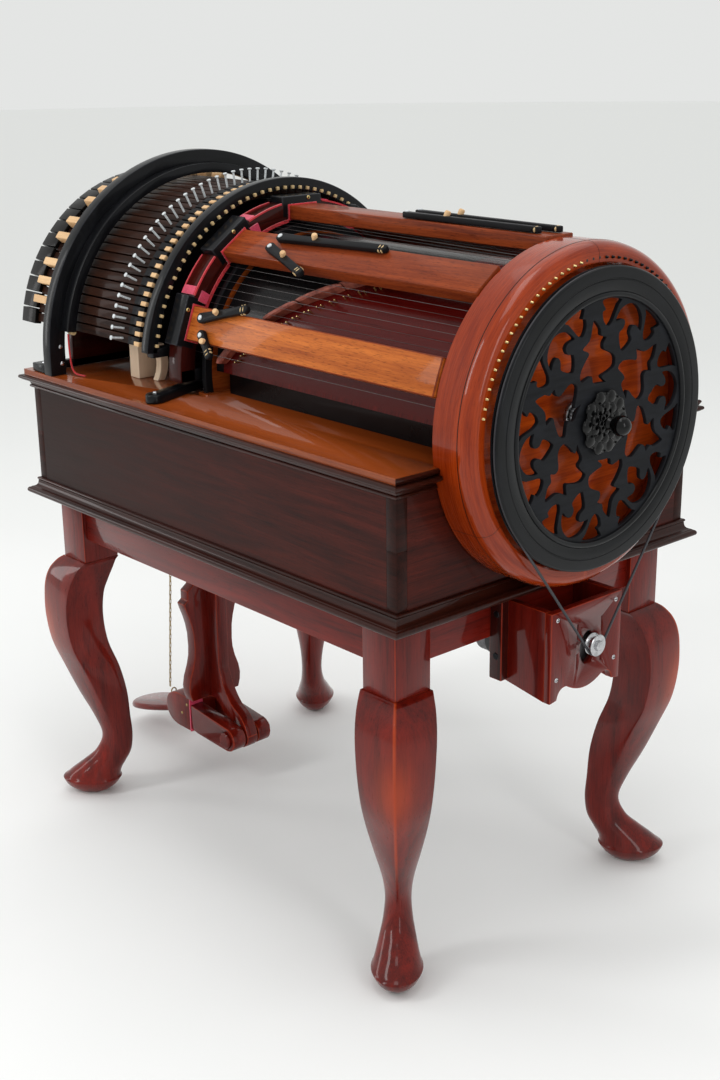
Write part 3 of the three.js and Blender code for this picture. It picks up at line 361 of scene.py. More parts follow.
def make_mesh(name, shape, materials, smooth=35):
    mesh = bpy.data.meshes.new(name)
    for v in shape.bm.verts:
        v.co = Vector((v.co.x * MM + SHIFT_X, v.co.y * MM, v.co.z * MM))
    shape.bm.to_mesh(mesh)
    shape.bm.free()
    for material in materials:
        mesh.materials.append(material)
    mesh.shade_smooth()
    mesh.set_sharp_from_angle(angle=math.radians(smooth))
    obj = bpy.data.objects.new(name, mesh)
    bpy.context.scene.collection.objects.link(obj)
    return obj


def piece(name, shape, materials, body="instrument", replaces=(), smooth=35, cutters=()):
    """Makes a piece of the object, less any cutting shapes, and hangs it on its body."""
    obj = make_mesh(name, shape, materials, smooth)
    for cutter in cutters:
        carve(obj, make_mesh("cutter", cutter, []))
    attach(obj, body)
    if replaces:
        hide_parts(*replaces)
    return obj


def carve(obj, tool):
    """Cuts tool out of obj and removes tool."""
    modifier = obj.modifiers.new("cut", "BOOLEAN")
    modifier.operation = "DIFFERENCE"
    modifier.solver = "EXACT"
    modifier.object = tool
    result = bpy.data.meshes.new_from_object(obj.evaluated_get(bpy.context.evaluated_depsgraph_get()))
    obj.modifiers.clear()
    obj.data = result
    bpy.data.objects.remove(tool)


# ------------------------------------------------------------------ materials

def linear(color):
    """A colour as seen, 0 to 1 for each channel, turned into linear light."""
    return [c / 12.92 if c <= 0.04045 else ((c + 0.055) / 1.055) ** 2.4 for c in color] + [1.0]


class Nodes:
    """Builds one material's node tree."""

    def __init__(self, name):
        self.material = bpy.data.materials.new(name)
        self.material.use_nodes = True
        self.tree = self.material.node_tree
        self.shader = self.tree.nodes["Principled BSDF"]

    def add(self, kind, inputs=None, output=0, **settings):
        node = self.tree.nodes.new(kind)
        for key, value in settings.items():
            setattr(node, key, value)
        for key, value in (inputs or {}).items():
            self.set(node.inputs[key], value)
        return node.outputs[output]

    def set(self, socket, value):
        if isinstance(value, bpy.types.NodeSocket):
            self.tree.links.new(value, socket)
        else:
            socket.default_value = value

    def shade(self, **inputs):
        for key, value in inputs.items():
            self.set(self.shader.inputs[key.replace("_", " ")], value)
        return self.material

    def noise(self, vector, scale, detail=4.0, roughness=0.55, distortion=0.0):
        return self.add("ShaderNodeTexNoise", {
            "Vector": vector, "Scale": scale, "Detail": detail, "Roughness": roughness,
            "Distortion": distortion})

    def stretched(self, vector, scale):
        return self.add("ShaderNodeMapping", {"Vector": vector, "Scale": scale}, vector_type="POINT")

    def mix(self, fac, a, b):
        return self.add("ShaderNodeMix", {0: fac, 6: a, 7: b}, output=2, data_type="RGBA")

    def math(self, operation, a, b=0.0, c=0.0):
        return self.add("ShaderNodeMath", {0: a, 1: b, 2: c}, operation=operation)

    def range(self, value, low, high, to_low=0.0, to_high=1.0):
        return self.add("ShaderNodeMapRange", {0: value, 1: low, 2: high, 3: to_low, 4: to_high})

    def bump(self, height, strength, distance):
        return self.add("ShaderNodeBump", {"Height": height, "Strength": strength, "Distance": distance})


def wood(name, dark, light, pore=0.5, coat=0.6, roughness=0.35, painted_lit=None, painted_shade=None, streak=1.0):
    """Grained wood under varnish. An optional lighter colour is painted highlight where the vertices'
    highlight amount is 1; an optional painted shade darkens it towards (colour, x where it is strongest,
    x where it ends), in metres."""
    n = Nodes(name)
    grain = n.add("ShaderNodeAttribute", output=1, attribute_name="grain")
    figure = n.noise(n.stretched(grain, (5, 70 * streak, 70 * streak)), 1.0, 7, 0.6, 0.6)
    fibres = n.noise(n.stretched(grain, (16, 420, 420)), 1.0, 4, 0.6)
    patches = n.noise(n.stretched(grain, (4, 11, 11)), 1.0, 3, 0.5, 1.2)
    pores = n.range(n.noise(n.stretched(grain, (90, 900, 900)), 1.0, 2, 0.5), 0.56, 0.70)
    spread = n.math("MULTIPLY_ADD", fibres, 0.35, n.math("MULTIPLY", figure, 0.65))
    color = n.mix(n.range(spread, 0.34, 0.66), linear(dark), linear(light))
    color = n.mix(n.range(patches, 0.35, 0.7, 0.0, 0.45), color, linear(dark))
    shadow = [c * 0.35 for c in linear(dark)[:3]] + [1.0]
    color = n.mix(n.math("MULTIPLY", pores, pore), color, shadow)
    # Painted shade: mixed towards its colour from one x position to the other.
    if painted_shade:
        tone, strong, gone = painted_shade
        position = n.add("ShaderNodeSeparateXYZ", {0: n.add("ShaderNodeTexCoord", output=3)})
        drift = n.math("MULTIPLY_ADD", patches, 0.25, position)
        color = n.mix(n.range(drift, strong, gone, 1.0, 0.0), color, linear(tone))
    # Painted highlight: the lighter colour where the vertices' highlight amount is high.
    if painted_lit:
        wear = n.add("ShaderNodeAttribute", output=2, attribute_name="wear")
        color = n.mix(n.math("MULTIPLY", wear, n.range(patches, 0.2, 0.5, 0.6, 1.0)), color, linear(painted_lit))
    rough = n.range(fibres, 0.3, 0.7, roughness - 0.06, roughness + 0.08)
    height = n.math("SUBTRACT", fibres, n.math("MULTIPLY", pores, pore))
    return n.shade(Base_Color=color, Roughness=rough, Normal=n.bump(height, 0.22, 0.0004),
                   Specular_IOR_Level=0.08, Coat_Weight=coat, Coat_Roughness=0.06, Coat_IOR=1.35)


def satin_black(name, tone=(0.10, 0.105, 0.12), roughness=0.42, coat=0.25, grain_scale=260):
    """Black-stained wood, with faint fibres and rubbed, lighter patches."""
    n = Nodes(name)
    grain = n.add("ShaderNodeAttribute", output=1, attribute_name="grain")
    fibres = n.noise(n.stretched(grain, (18, grain_scale, grain_scale)), 1.0, 5, 0.6)
    rubbed = n.noise(n.stretched(grain, (14, 20, 20)), 1.0, 4, 0.6, 0.8)
    deep = linear([c * 0.62 for c in tone])
    color = n.mix(n.range(fibres, 0.3, 0.7), deep, linear(tone))
    color = n.mix(n.range(rubbed, 0.5, 0.75, 0.0, 0.4), color, linear([c * 1.6 for c in tone]))
    # Painted highlight: lighter where the vertices' highlight amount is high.
    wear = n.add("ShaderNodeAttribute", output=2, attribute_name="wear")
    color = n.mix(wear, color, linear([min(1, c * 3.2) for c in tone]))
    rough = n.range(rubbed, 0.3, 0.7, roughness - 0.08, roughness + 0.1)
    return n.shade(Base_Color=color, Roughness=rough, Normal=n.bump(fibres, 0.2, 0.0003),
                   Specular_IOR_Level=0.1, Coat_Weight=coat, Coat_Roughness=0.12, Coat_IOR=1.35)


def felt(name, tone):
    n = Nodes(name)
    where = n.add("ShaderNodeTexCoord", output=3)
    fluff = n.noise(where, 900, 6, 0.7)
    clumps = n.noise(where, 120, 3, 0.6)
    color = n.mix(n.range(fluff, 0.3, 0.7), linear([c * 0.7 for c in tone]), linear(tone))
    color = n.mix(n.range(clumps, 0.4, 0.7, 0.0, 0.3), color, linear([min(1, c * 1.15 + 0.05) for c in tone]))
    return n.shade(Base_Color=color, Roughness=0.95, Sheen_Weight=0.5, Sheen_Roughness=0.5,
                   Normal=n.bump(fluff, 0.6, 0.0006))


def leather(name, tone, dark):
    n = Nodes(name)
    where = n.add("ShaderNodeTexCoord", output=3)
    cells = n.add("ShaderNodeTexVoronoi", {"Vector": where, "Scale": 900}, feature="DISTANCE_TO_EDGE")
    stains = n.noise(where, 60, 5, 0.65)
    color = n.mix(n.range(stains, 0.35, 0.65), linear(dark), linear(tone))
    color = n.mix(n.range(cells, 0.0, 0.15, 0.35, 0.0), color, linear(dark))
    return n.shade(Base_Color=color, Roughness=0.62, Normal=n.bump(cells, 0.35, 0.0004))


def metal(name, tone, roughness=0.25, tarnish=None):
    n = Nodes(name)
    where = n.add("ShaderNodeTexCoord", output=3)
    brushed = n.noise(n.stretched(where, (60, 900, 900)), 1.0, 4, 0.6)
    spots = n.noise(where, 140, 5, 0.6)
    color = n.mix(n.range(brushed, 0.3, 0.7), linear([c * 0.86 for c in tone]), linear(tone))
    color = n.mix(n.range(spots, 0.5, 0.72, 0.0, 0.55), color, linear(tarnish or [c * 0.6 for c in tone]))
    rough = n.range(spots, 0.3, 0.7, roughness - 0.07, roughness + 0.12)
    return n.shade(Base_Color=color, Metallic=1.0, Roughness=rough, Normal=n.bump(brushed, 0.1, 0.0001))


def rubber(name, tone):
    n = Nodes(name)
    where = n.add("ShaderNodeTexCoord", output=3)
    dust = n.noise(where, 300, 5, 0.6)
    color = n.mix(n.range(dust, 0.35, 0.75), linear(tone), linear([c + 0.07 for c in tone]))
    return n.shade(Base_Color=color, Roughness=n.range(dust, 0.3, 0.7, 0.4, 0.6),
                   Normal=n.bump(dust, 0.15, 0.0002))


def enamel(name, tone, roughness=0.25, coat=0.3):
    """Small painted or plastic heads, faintly speckled."""
    n = Nodes(name)
    where = n.add("ShaderNodeTexCoord", output=3)
    speckle = n.noise(where, 500, 4, 0.6)
    color = n.mix(n.range(speckle, 0.35, 0.7), linear([c * 0.85 for c in tone]), linear(tone))
    return n.shade(Base_Color=color, Roughness=n.range(speckle, 0.3, 0.7, roughness - 0.05, roughness + 0.1),
                   Coat_Weight=coat, Coat_Roughness=0.05)


def twisted(name, tone, dark):
    """The twisted strands of a thin cord."""
    n = Nodes(name)
    where = n.add("ShaderNodeTexCoord", output=3)
    strands = n.add("ShaderNodeTexWave", {"Vector": where, "Scale": 700, "Distortion": 2.0},
                    bands_direction="DIAGONAL")
    color = n.mix(strands, linear(dark), linear(tone))
    return n.shade(Base_Color=color, Roughness=0.7, Normal=n.bump(strands, 0.5, 0.0005), Sheen_Weight=0.3)


# The case walls carry painted shade, darker and duller towards the key end.
CASE_WOOD = wood("case_walnut", (0.13, 0.035, 0.02), (0.32, 0.10, 0.06), pore=0.35, coat=0.1,
                 painted_shade=((0.13, 0.065, 0.05), -0.30, 0.42))
MOULDING_WOOD = wood("moulding", (0.10, 0.035, 0.02), (0.24, 0.09, 0.055), pore=0.3, coat=0.5)
CORNER_WOOD = wood("case_corner", (0.09, 0.03, 0.02), (0.22, 0.08, 0.05), pore=0.3, coat=0.1)
# A lighter edge colour for the mouldings: painted highlight.
EDGE_HIGHLIGHT_WOOD = wood("edge_highlight", (0.42, 0.22, 0.16), (0.60, 0.36, 0.27), pore=0.2, coat=0.3)
# Its lighter orange is painted highlight, along the legs' outward corners and over the knees.
MAHOGANY = wood("mahogany", (0.26, 0.035, 0.02), (0.50, 0.10, 0.045), pore=0.3, coat=0.7,
                roughness=0.32, painted_lit=(0.80, 0.30, 0.08), streak=0.7)
# Lighter colour of the bevels on mahogany parts: painted highlight along the edges.
MAHOGANY_EDGE_HIGHLIGHT = wood("mahogany_edge_highlight", (0.46, 0.11, 0.04), (0.62, 0.20, 0.08), pore=0.2, coat=0.6)
MAHOGANY_DARK = wood("mahogany_dark", (0.13, 0.025, 0.015), (0.28, 0.06, 0.035), pore=0.4, coat=0.5)
DECK_WOOD = wood("deck_mahogany", (0.42, 0.16, 0.05), (0.68, 0.34, 0.13), pore=0.4, coat=0.8, roughness=0.3)
HOOP_WOOD = wood("hoop_wood", (0.44, 0.12, 0.02), (0.66, 0.24, 0.05), pore=0.3, coat=0.8, roughness=0.25,
                 streak=0.5)
HOOP_BOARD_WOOD = wood("hoop_board", (0.56, 0.17, 0.03), (0.84, 0.34, 0.07), pore=0.2, coat=0.3)
HOOP_LINE = wood("hoop_line", (0.14, 0.05, 0.03), (0.24, 0.09, 0.05), pore=0.2, coat=0.4)
BEAM_WOOD = wood("beam_mahogany", (0.38, 0.14, 0.06), (0.62, 0.28, 0.12), pore=0.6, coat=0.25, roughness=0.42)
# A lighter copy of the beam wood: painted light on the first beam's lit faces.
BEAM_PAINTED_LIT = wood("beam_painted_lit", (0.56, 0.26, 0.09), (0.82, 0.46, 0.19), pore=0.6, coat=0.25, roughness=0.42)
SOUNDBOARD_RED = wood("soundboard_red", (0.20, 0.012, 0.008), (0.40, 0.045, 0.02), pore=0.3, coat=0.35,
                      roughness=0.3)
SOUNDBOARD_BLACK = satin_black("soundboard_black", (0.05, 0.04, 0.045), 0.3, 0.3)
BLACK_WOOD = satin_black("black_wood", (0.065, 0.068, 0.08), 0.34, 0.35)
BLACK_MATT = satin_black("black_matt", (0.08, 0.08, 0.09), 0.55, 0.1, 160)
BLACK_PLATE = satin_black("black_plate", (0.11, 0.115, 0.13), 0.6, 0.05, 160)
BLACK_RIM = satin_black("black_rim", (0.065, 0.07, 0.08), 0.32, 0.35, 120)
BLACK_GLOSS = satin_black("black_gloss", (0.015, 0.015, 0.018), 0.14, 0.5)
# Lighter colour of the bevels on black parts: painted highlight along the edges.
BLACK_EDGE_HIGHLIGHT = satin_black("black_edge_highlight", (0.14, 0.145, 0.165), 0.3, 0.4)
KEY_WOOD = wood("key_walnut", (0.08, 0.035, 0.02), (0.22, 0.115, 0.07), pore=0.5, coat=0.1, roughness=0.45)
KEY_BLACK = satin_black("key_black", (0.065, 0.055, 0.05), 0.4, 0.25)
MAPLE = wood("maple", (0.78, 0.62, 0.45), (0.92, 0.78, 0.60), pore=0.1, coat=0.1, roughness=0.45, streak=0.4)
MAPLE_PALE = wood("maple_pale", (0.90, 0.80, 0.68), (0.97, 0.89, 0.79), pore=0.08, coat=0.05, roughness=0.55,
                  streak=0.4)
RED_FELT = felt("red_felt", (0.84, 0.09, 0.16))
PINK_FELT = felt("pink_felt", (0.90, 0.20, 0.36))
BRIDGE_LEATHER = leather("bridge_leather", (0.66, 0.36, 0.29), (0.42, 0.20, 0.16))
BRASS = metal("brass", (0.90, 0.80, 0.56), 0.25)
OLD_BRASS = metal("old_brass", (0.72, 0.62, 0.42), 0.38, (0.40, 0.33, 0.22))
STEEL = metal("steel", (0.80, 0.80, 0.81), 0.24)
STRING_STEEL = metal("string_steel", (0.42, 0.41, 0.41), 0.35)
MOTOR_METAL = metal("motor_metal", (0.50, 0.50, 0.51), 0.45)
DARK_METAL = metal("dark_metal", (0.16, 0.16, 0.17), 0.4)
WHITE_HEAD = enamel("white_head", (0.86, 0.88, 0.89))
TAN_RING = enamel("tan_ring", (0.84, 0.72, 0.52), 0.45, 0.05)
BELT = rubber("belt", (0.13, 0.13, 0.15))
BLACK_RUBBER = rubber("black_rubber", (0.07, 0.07, 0.08))
CORD_RED = twisted("cord_red", (0.88, 0.10, 0.14), (0.55, 0.03, 0.07))


# ------------------------------------------------------------------ camera, light and floor

def build_camera():
    azimuth, elevation, roll = (math.radians(a) for a in (48.74, 18.48, -0.72))
    back = Vector((math.sin(azimuth) * math.cos(elevation), -math.cos(azimuth) * math.cos(elevation),
                   math.sin(elevation)))
    level = Vector((math.cos(azimuth), math.sin(azimuth), 0))
    upright = back.cross(level)
    right = level * math.cos(roll) + upright * math.sin(roll)
    up = upright * math.cos(roll) - level * math.sin(roll)
    data = bpy.data.cameras.new("camera")
    data.lens = 51.5
    data.sensor_width = 36
    camera = bpy.data.objects.new("camera", data)
    camera.matrix_world = Matrix.Translation((1.7386, -1.4765, 1.2434)) @ Matrix(
        (right, up, back)).transposed().to_4x4()
    bpy.context.scene.collection.objects.link(camera)
    bpy.context.scene.camera = camera


def area_light(name, place, target, size, power):
    data = bpy.data.lights.new(name, "AREA")
    data.shape = "RECTANGLE"
    data.size, data.size_y = size
    data.energy = power
    light = bpy.data.objects.new(name, data)
    light.location = place
    light.rotation_euler = (Vector(target) - Vector(place)).to_track_quat("-Z", "Y").to_euler()
    bpy.context.scene.collection.objects.link(light)


FLOOR_RADIUS = 24        # metres
PAPER_TONES = ((0.86, 0.865, 0.86, 1), (0.89, 0.89, 0.885, 1))
# Painted shade: the paper's colour far from the middle.
FAR_FLOOR_SHADE = (0.79, 0.797, 0.787, 1)
ROOM_COLOR = (0.775, 0.785, 0.775, 1)
# Name, place, the point it is aimed at, width and height, and power.
SOFT_BOXES = [
    ("key_light", (-0.9, -2.5, 2.3), (0, 0, 0.5), (0.5, 1.7), 20),
    ("top_light", (0.5, -0.4, 2.9), (0.1, 0, 0.7), (0.7, 1.6), 11),
    ("side_light", (2.9, -0.5, 1.6), (0.2, 0, 0.5), (0.45, 1.6), 10),
    ("strip_light", (-2.4, -1.6, 1.3), (0, 0, 0.6), (0.35, 1.8), 8),
]


def floor_paper():
    """Pale mottled paper with painted shade that darkens it a little away from the middle."""
    n = Nodes("floor")
    where = n.add("ShaderNodeTexCoord", output=3)
    cloud = n.noise(where, 1.5, 3, 0.5)
    color = n.mix(n.range(cloud, 0.3, 0.7), *PAPER_TONES)
    distance = n.add("ShaderNodeVectorMath", {0: where}, output=1, operation="LENGTH")
    # Painted shade, growing with the distance from the middle.
    color = n.mix(n.range(distance, 0.9, 4.0), color, FAR_FLOOR_SHADE)
    return n.shade(Base_Color=color, Roughness=0.85, Specular_IOR_Level=0.1,
                   Normal=n.bump(n.noise(where, 220, 3, 0.5), 0.05, 0.0005))


def build_floor():
    paper = floor_paper()
    bm = bmesh.new()
    bmesh.ops.create_circle(bm, cap_ends=True, segments=96, radius=FLOOR_RADIUS)
    mesh = bpy.data.meshes.new("floor")
    bm.to_mesh(mesh)
    bm.free()
    mesh.materials.append(paper)
    floor = bpy.data.objects.new("floor", mesh)
    bpy.context.scene.collection.objects.link(floor)


def build_lights():
    """An evenly pale room, a broad light from above and four soft boxes."""
    world = bpy.data.worlds.new("studio")
    world.use_nodes = True
    background = world.node_tree.nodes["Background"]
    background.inputs["Color"].default_value = ROOM_COLOR
    background.inputs["Strength"].default_value = 1.0
    bpy.context.scene.world = world
    bpy.context.scene.view_settings.view_transform = "Standard"

    data = bpy.data.lights.new("ceiling_light", "SUN")
    data.energy = 0.5
    data.angle = math.radians(60)
    ceiling = bpy.data.objects.new("ceiling_light", data)
    ceiling.rotation_euler = (math.radians(-18), math.radians(-12), 0)
    bpy.context.scene.collection.objects.link(ceiling)
    for soft_box in SOFT_BOXES:
        area_light(*soft_box)


def build_studio():
    build_floor()
    build_lights()


# ------------------------------------------------------------------ stand

# Sections down a cabriole leg: height, distance of the middle outward along the diagonal, half size
# along the diagonal, half size across it, and how square the section is (1 square, 2 round).
LEG_SECTIONS = [
    (0, 26, 22, 15, 2.1), (5, 26, 32, 22, 2.1), (14, 26, 43, 30, 2.05), (24, 25, 49.5, 35.5, 2.0),
    (27, 24, 49.5, 35.5, 2.0), (31, 22, 46, 33.5, 1.95), (42, 14, 41, 30, 1.9), (56, 1, 36, 26, 1.85),
    (76, -15, 30, 21, 1.75), (105, -23, 26, 18.5, 1.6), (140, -16, 31, 22, 1.4), (185, -3, 41, 32, 1.25),
    (230, 12, 46, 41, 1.14), (274, 29, 47, 47, 1.1), (320, 35.5, 48, 51, 1.07), (360, 33.5, 49.5, 53, 1.06),
    (385, 27, 52, 53, 1.06), (404, 18.5, 52, 51.5, 1.05), (418, 9, 48.5, 49, 1.03), (424, 2, 46, 47.4, 1.0),
    (425, 1, 45, 46.4, 1.0),
]
LEG_POINTS = 56
LEG_BLOCK_SIZE = 62
LEG_BLOCK_X = (APRON_HIGH.x + GAP, APRON_HIGH.x + GAP + LEG_BLOCK_SIZE)
BLOCK_PROUD = 7          # the blocks stand this far out from the long aprons
LEG_BLOCK_Y = (-APRON_LOW.y + BLOCK_PROUD - LEG_BLOCK_SIZE, -APRON_LOW.y + BLOCK_PROUD)


def leg_section(height, shift, half_out, half_across, squareness, centre, out, across):
    """One ring of points round a leg; square sections have a sharp corner outward."""
    ring = []
    for i in range(LEG_POINTS):
        turn = 2 * math.pi * i / LEG_POINTS
        reach, side = math.cos(turn), math.sin(turn)
        u = shift + half_out * math.copysign(abs(reach) ** (2 / squareness), reach)
        v = half_across * math.copysign(abs(side) ** (2 / squareness), side)
        ring.append(Vector((centre.x, centre.y, height)) + out * u + across * v)
    return ring


def build_leg(name, sign_x, sign_y):
    block_x = [sign_x * LEG_BLOCK_X[0], sign_x * LEG_BLOCK_X[1]]
    block_y = [sign_y * LEG_BLOCK_Y[0], sign_y * LEG_BLOCK_Y[1]]
    centre = Vector((sum(block_x) / 2, sum(block_y) / 2))
    out = Vector((sign_x, sign_y, 0)).normalized()
    across = Vector((-out.y, out.x, 0))
    rows = smooth_rows(LEG_SECTIONS, 6)
    verts = [p for row in rows for p in leg_section(*row, centre, out, across)]
    faces = []
    for r in range(len(rows) - 1):
        for i in range(LEG_POINTS):
            j = (i + 1) % LEG_POINTS
            a, b = r * LEG_POINTS, (r + 1) * LEG_POINTS
            faces.append((a + i, a + j, b + j, b + i))
    faces.append(tuple(reversed(range(LEG_POINTS))))
    faces.append(tuple(range((len(rows) - 1) * LEG_POINTS, len(rows) * LEG_POINTS)))

    def corner_highlight(p):
        """Painted highlight: a thin line along the outward corner, and a paler pool over the knee's front."""
        section = min(rows, key=lambda row: abs(row[0] - p.z))
        away = Vector((p.x - centre.x, p.y - centre.y, 0))
        if away.dot(out) < section[1]:
            return 0.0
        side = abs(away.dot(across))
        line = 0.5 * min(1.0, max(0.0, (p.z - 130) / 90)) if side < 1.2 else 0.0
        glow = 0.42 * math.exp(-((p.z - 305) / 48) ** 2 - (side / 22) ** 2)
        return max(line, glow)

    # The leg carries its painted highlights in its vertices.
    shape = Shape().add((verts, faces), along_z, wear=corner_highlight)
    shape.add(block(block_x, block_y, (LEG_SECTIONS[-1][0], LEG_TOP)), along_z, bevel=1.0, edge=1)
    piece(name, shape, [MAHOGANY, MAHOGANY_EDGE_HIGHLIGHT], replaces=[name], smooth=32)


def build_stand():
    for name, sign_x, sign_y in (("leg_front_right", 1, -1), ("leg_front_left", -1, -1),
                                 ("leg_back_right", 1, 1), ("leg_back_left", -1, 1)):
        build_leg(name, sign_x, sign_y)
    for name, grain in (("apron_front", along_x), ("apron_back", along_x),
                        ("apron_key_end", along_y), ("apron_wheel_end", along_y)):
        low, high = span(name)
        shape = Shape().add(block(*zip(low, high)), grain, bevel=0.8, edge=1)
        piece(name, shape, [MAHOGANY, MAHOGANY_EDGE_HIGHLIGHT], replaces=[name])


# ------------------------------------------------------------------ case

WALL = 18
JOINT_SHARE = 0.54       # share of the wall's height where the corner's fingers change over
SEAM = 0.12


def build_case():
    """Four boards, with one upper and one lower finger at each corner."""
    change = CASE_LOW.z + (CASE_HIGH.z - CASE_LOW.z) * JOINT_SHARE
    inner = CASE_HIGH - Vector((WALL, WALL, 0))
    whole = (CASE_LOW.z, CASE_HIGH.z)
    shape = Shape()
    for side in (-1, 1):
        shape.add(block((-inner.x, inner.x), mirrored(side, inner.y, CASE_HIGH.y), whole), along_x)
        shape.add(block(mirrored(side, inner.x, CASE_HIGH.x), (-inner.y, inner.y), whole), along_y)
        for end in (-1, 1):
            x = mirrored(end, inner.x + SEAM, CASE_HIGH.x)
            y = mirrored(side, inner.y + SEAM, CASE_HIGH.y)
            shape.add(block(x, y, (CASE_LOW.z, change - SEAM)), along_x, material=1, bevel=0.25)
            shape.add(block(x, y, (change + SEAM, CASE_HIGH.z)), along_y, material=1, bevel=0.25)
    piece("case_walls", shape, [CASE_WOOD, CORNER_WOOD], replaces=["case_frame"])


def mitred_frame(shape, profile, place, material=0):
    """A profile of (distance, height) taken round four mitred sides; place(sx, sy, distance, height)
    puts a point at the corner with those signs."""
    corners = ((-1, -1), (1, -1), (1, 1), (-1, 1))
    for side in range(4):
        ends = (corners[side], corners[(side + 1) % 4])
        verts = [place(*corner, *point) for corner in ends for point in profile]
        grain = along_x if side % 2 == 0 else along_y
        shape.add((verts, prism_faces(len(profile))), grain, material=material)


def hoop_relief():
    """The room cut out of the case's trim for the hoop."""
    radius, start = HOOP_RADIUS + 0.8, HOOP_X[0] - GAP
    return Shape().add(turned([(0, start), (radius, start), (radius, CUT_REACH), (0, CUT_REACH)], 128))


def moulding(name, profile):
    """A moulding round the case; the profile is (distance out from the wall, height)."""
    def place(sx, sy, out, z):
        return Vector((sx * (CASE_HIGH.x + GAP + out), sy * (CASE_HIGH.y + GAP + out), z))

    shape = Shape()
    mitred_frame(shape, profile, place)
    piece(name, shape, [MOULDING_WOOD, EDGE_HIGHLIGHT_WOOD], replaces=[name], smooth=28,
          cutters=[hoop_relief()])


def build_mouldings():
    reach = MOULDING_HIGH.x - CASE_HIGH.x - GAP
    low, high = TOP_MOULDING_Z
    moulding("moulding_top", [
        (0, low), (2.4, low), *arc((2.4, low + 2.4), 2.4, -90, 90, 6)[1:], (3.4, low + 5.6),
        *curve((3.4, low + 5.6), (4.2, low + 12.4), (reach - 4, low + 12.6), steps=7),
        (reach - 3.2, low + 13.6), *arc((reach - 3.1, high - 3.1), 3.1, -90, 90, 7), (0, high),
    ])
    low, high = BASE_MOULDING_Z
    moulding("moulding_base", [
        (0, low), (reach - 4.6, low), *arc((reach - 4.6, low + 4.6), 4.6, -90, 90, 9)[1:],
        (reach - 5.6, low + 10.2), *curve((reach - 5.6, low + 10.2), (3.6, low + 11.2), (3.4, high - 6),
                                          steps=7),
        (3.4, high - 5), *arc((2.3, high - 2.3), 2.3, -90, 90, 6), (0, high),
    ])


SLOT_HALF_WIDTH = 11
SLOT_REACH = 2
BOW_HALF_WIDTH = 4.5
DECK_EDGE = 4.5
DECK_EDGE_RADIUS = 3.2
DECK_EDGE_DROP = 0.4


def build_deck():
    """The deck board, opened for the bowing wheel and cut round the hoop, on a dark rounded edge."""
    bow_middle = BOW_X[0] + BOW_HALF_WIDTH
    slot = Shape().add(block((bow_middle - SLOT_HALF_WIDTH, bow_middle + SLOT_HALF_WIDTH),
                             (-BOW_R - SLOT_REACH, BOW_R + SLOT_REACH), (DECK_LOW.z - 5, DECK_Z + 5)))
    relief = hoop_relief()
    shape = Shape().add(block((DECK_LOW.x + DECK_EDGE, DECK_HIGH.x - DECK_EDGE),
                              (DECK_LOW.y + DECK_EDGE, DECK_HIGH.y - DECK_EDGE), (DECK_LOW.z, DECK_Z)),
                              along_x)
    rim_top = DECK_Z - DECK_EDGE_DROP
    flat = DECK_EDGE - DECK_EDGE_RADIUS
    rim = [(0, DECK_LOW.z), (flat, DECK_LOW.z),
           *arc((flat, DECK_Z - DECK_EDGE_RADIUS - DECK_EDGE_DROP), DECK_EDGE_RADIUS, 0, 90, 6), (0, rim_top)]

    def place(sx, sy, out, z):
        back = abs(DECK_EDGE - out - 0.02)
        corner_x = DECK_HIGH.x if sx > 0 else DECK_LOW.x
        corner_y = DECK_HIGH.y if sy > 0 else DECK_LOW.y
        return Vector((corner_x - sx * back, corner_y - sy * back, z))

    mitred_frame(shape, rim, place, material=1)
    piece("deck", shape, [DECK_WOOD, MOULDING_WOOD], replaces=["deck"],
          smooth=28, cutters=[slot, relief])
    for material_slot in frame["nodes"]["case_bottom"].material_slots:
        material_slot.material = CASE_WOOD


# ------------------------------------------------------------------ hoop

HOOP_FRONT_FLAT = 207
BAND_END = 466
HOOP_SEAMS = (-32, 90, 212)
PIN_R = 203.5
NEAR_PINS = 22
FIRST_PIN = 10
EMPTY_HOLES = 3
PIN_HEAD = [(0, -1), (2.0, -1), (2.0, 0.8), (1.5, 1.4), (1.5, 3.0), (1.0, 3.6), (0, 3.8)]


def hoop_profile(proud=0.0):
    """The hoop's outline: a slightly crowned band, a quarter bead and a flat front."""
    bead = HOOP_RADIUS - HOOP_FRONT_FLAT
    outline = [(HOOP_RADIUS - 2 + proud, HOOP_X[0]), (HOOP_RADIUS + proud, HOOP_X[0] + 2)]
    outline += [(HOOP_RADIUS + proud, BAND_END)]
    for i in range(1, 13):
        turn = math.radians(90 * i / 12)
        outline.append((HOOP_FRONT_FLAT + (bead + proud) * math.cos(turn),
                        BAND_END + (HOOP_X[1] - BAND_END) * math.sin(turn) + proud * math.sin(turn)))
    outline += [(HOOP_OPENING + 2, HOOP_X[1] + proud), (HOOP_OPENING, HOOP_X[1] - 2 + proud)]
    return outline


def build_hoop():
    shape = Shape().add(turned(hoop_profile() + [(HOOP_OPENING, HOOP_X[0])], 144, closed=True), around)
    line = [(HOOP_RADIUS - 1, BAND_END - 0.9), (HOOP_RADIUS + 0.25, BAND_END - 0.9),
            (HOOP_RADIUS + 0.25, BAND_END + 0.3), (HOOP_RADIUS - 1, BAND_END + 0.3)]
    shape.add(turned(line, 144, closed=True), around, material=1)
    for angle in HOOP_SEAMS:
        outline = hoop_profile(0.12) + [(HOOP_OPENING + 1, HOOP_X[0])]
        shape.add(turned(outline, 1, closed=True, sweep=(angle - 0.09, angle + 0.09)), around, material=1)
    piece("hoop_ring", shape, [HOOP_WOOD, HOOP_LINE], replaces=["hoop_ring"], smooth=40)


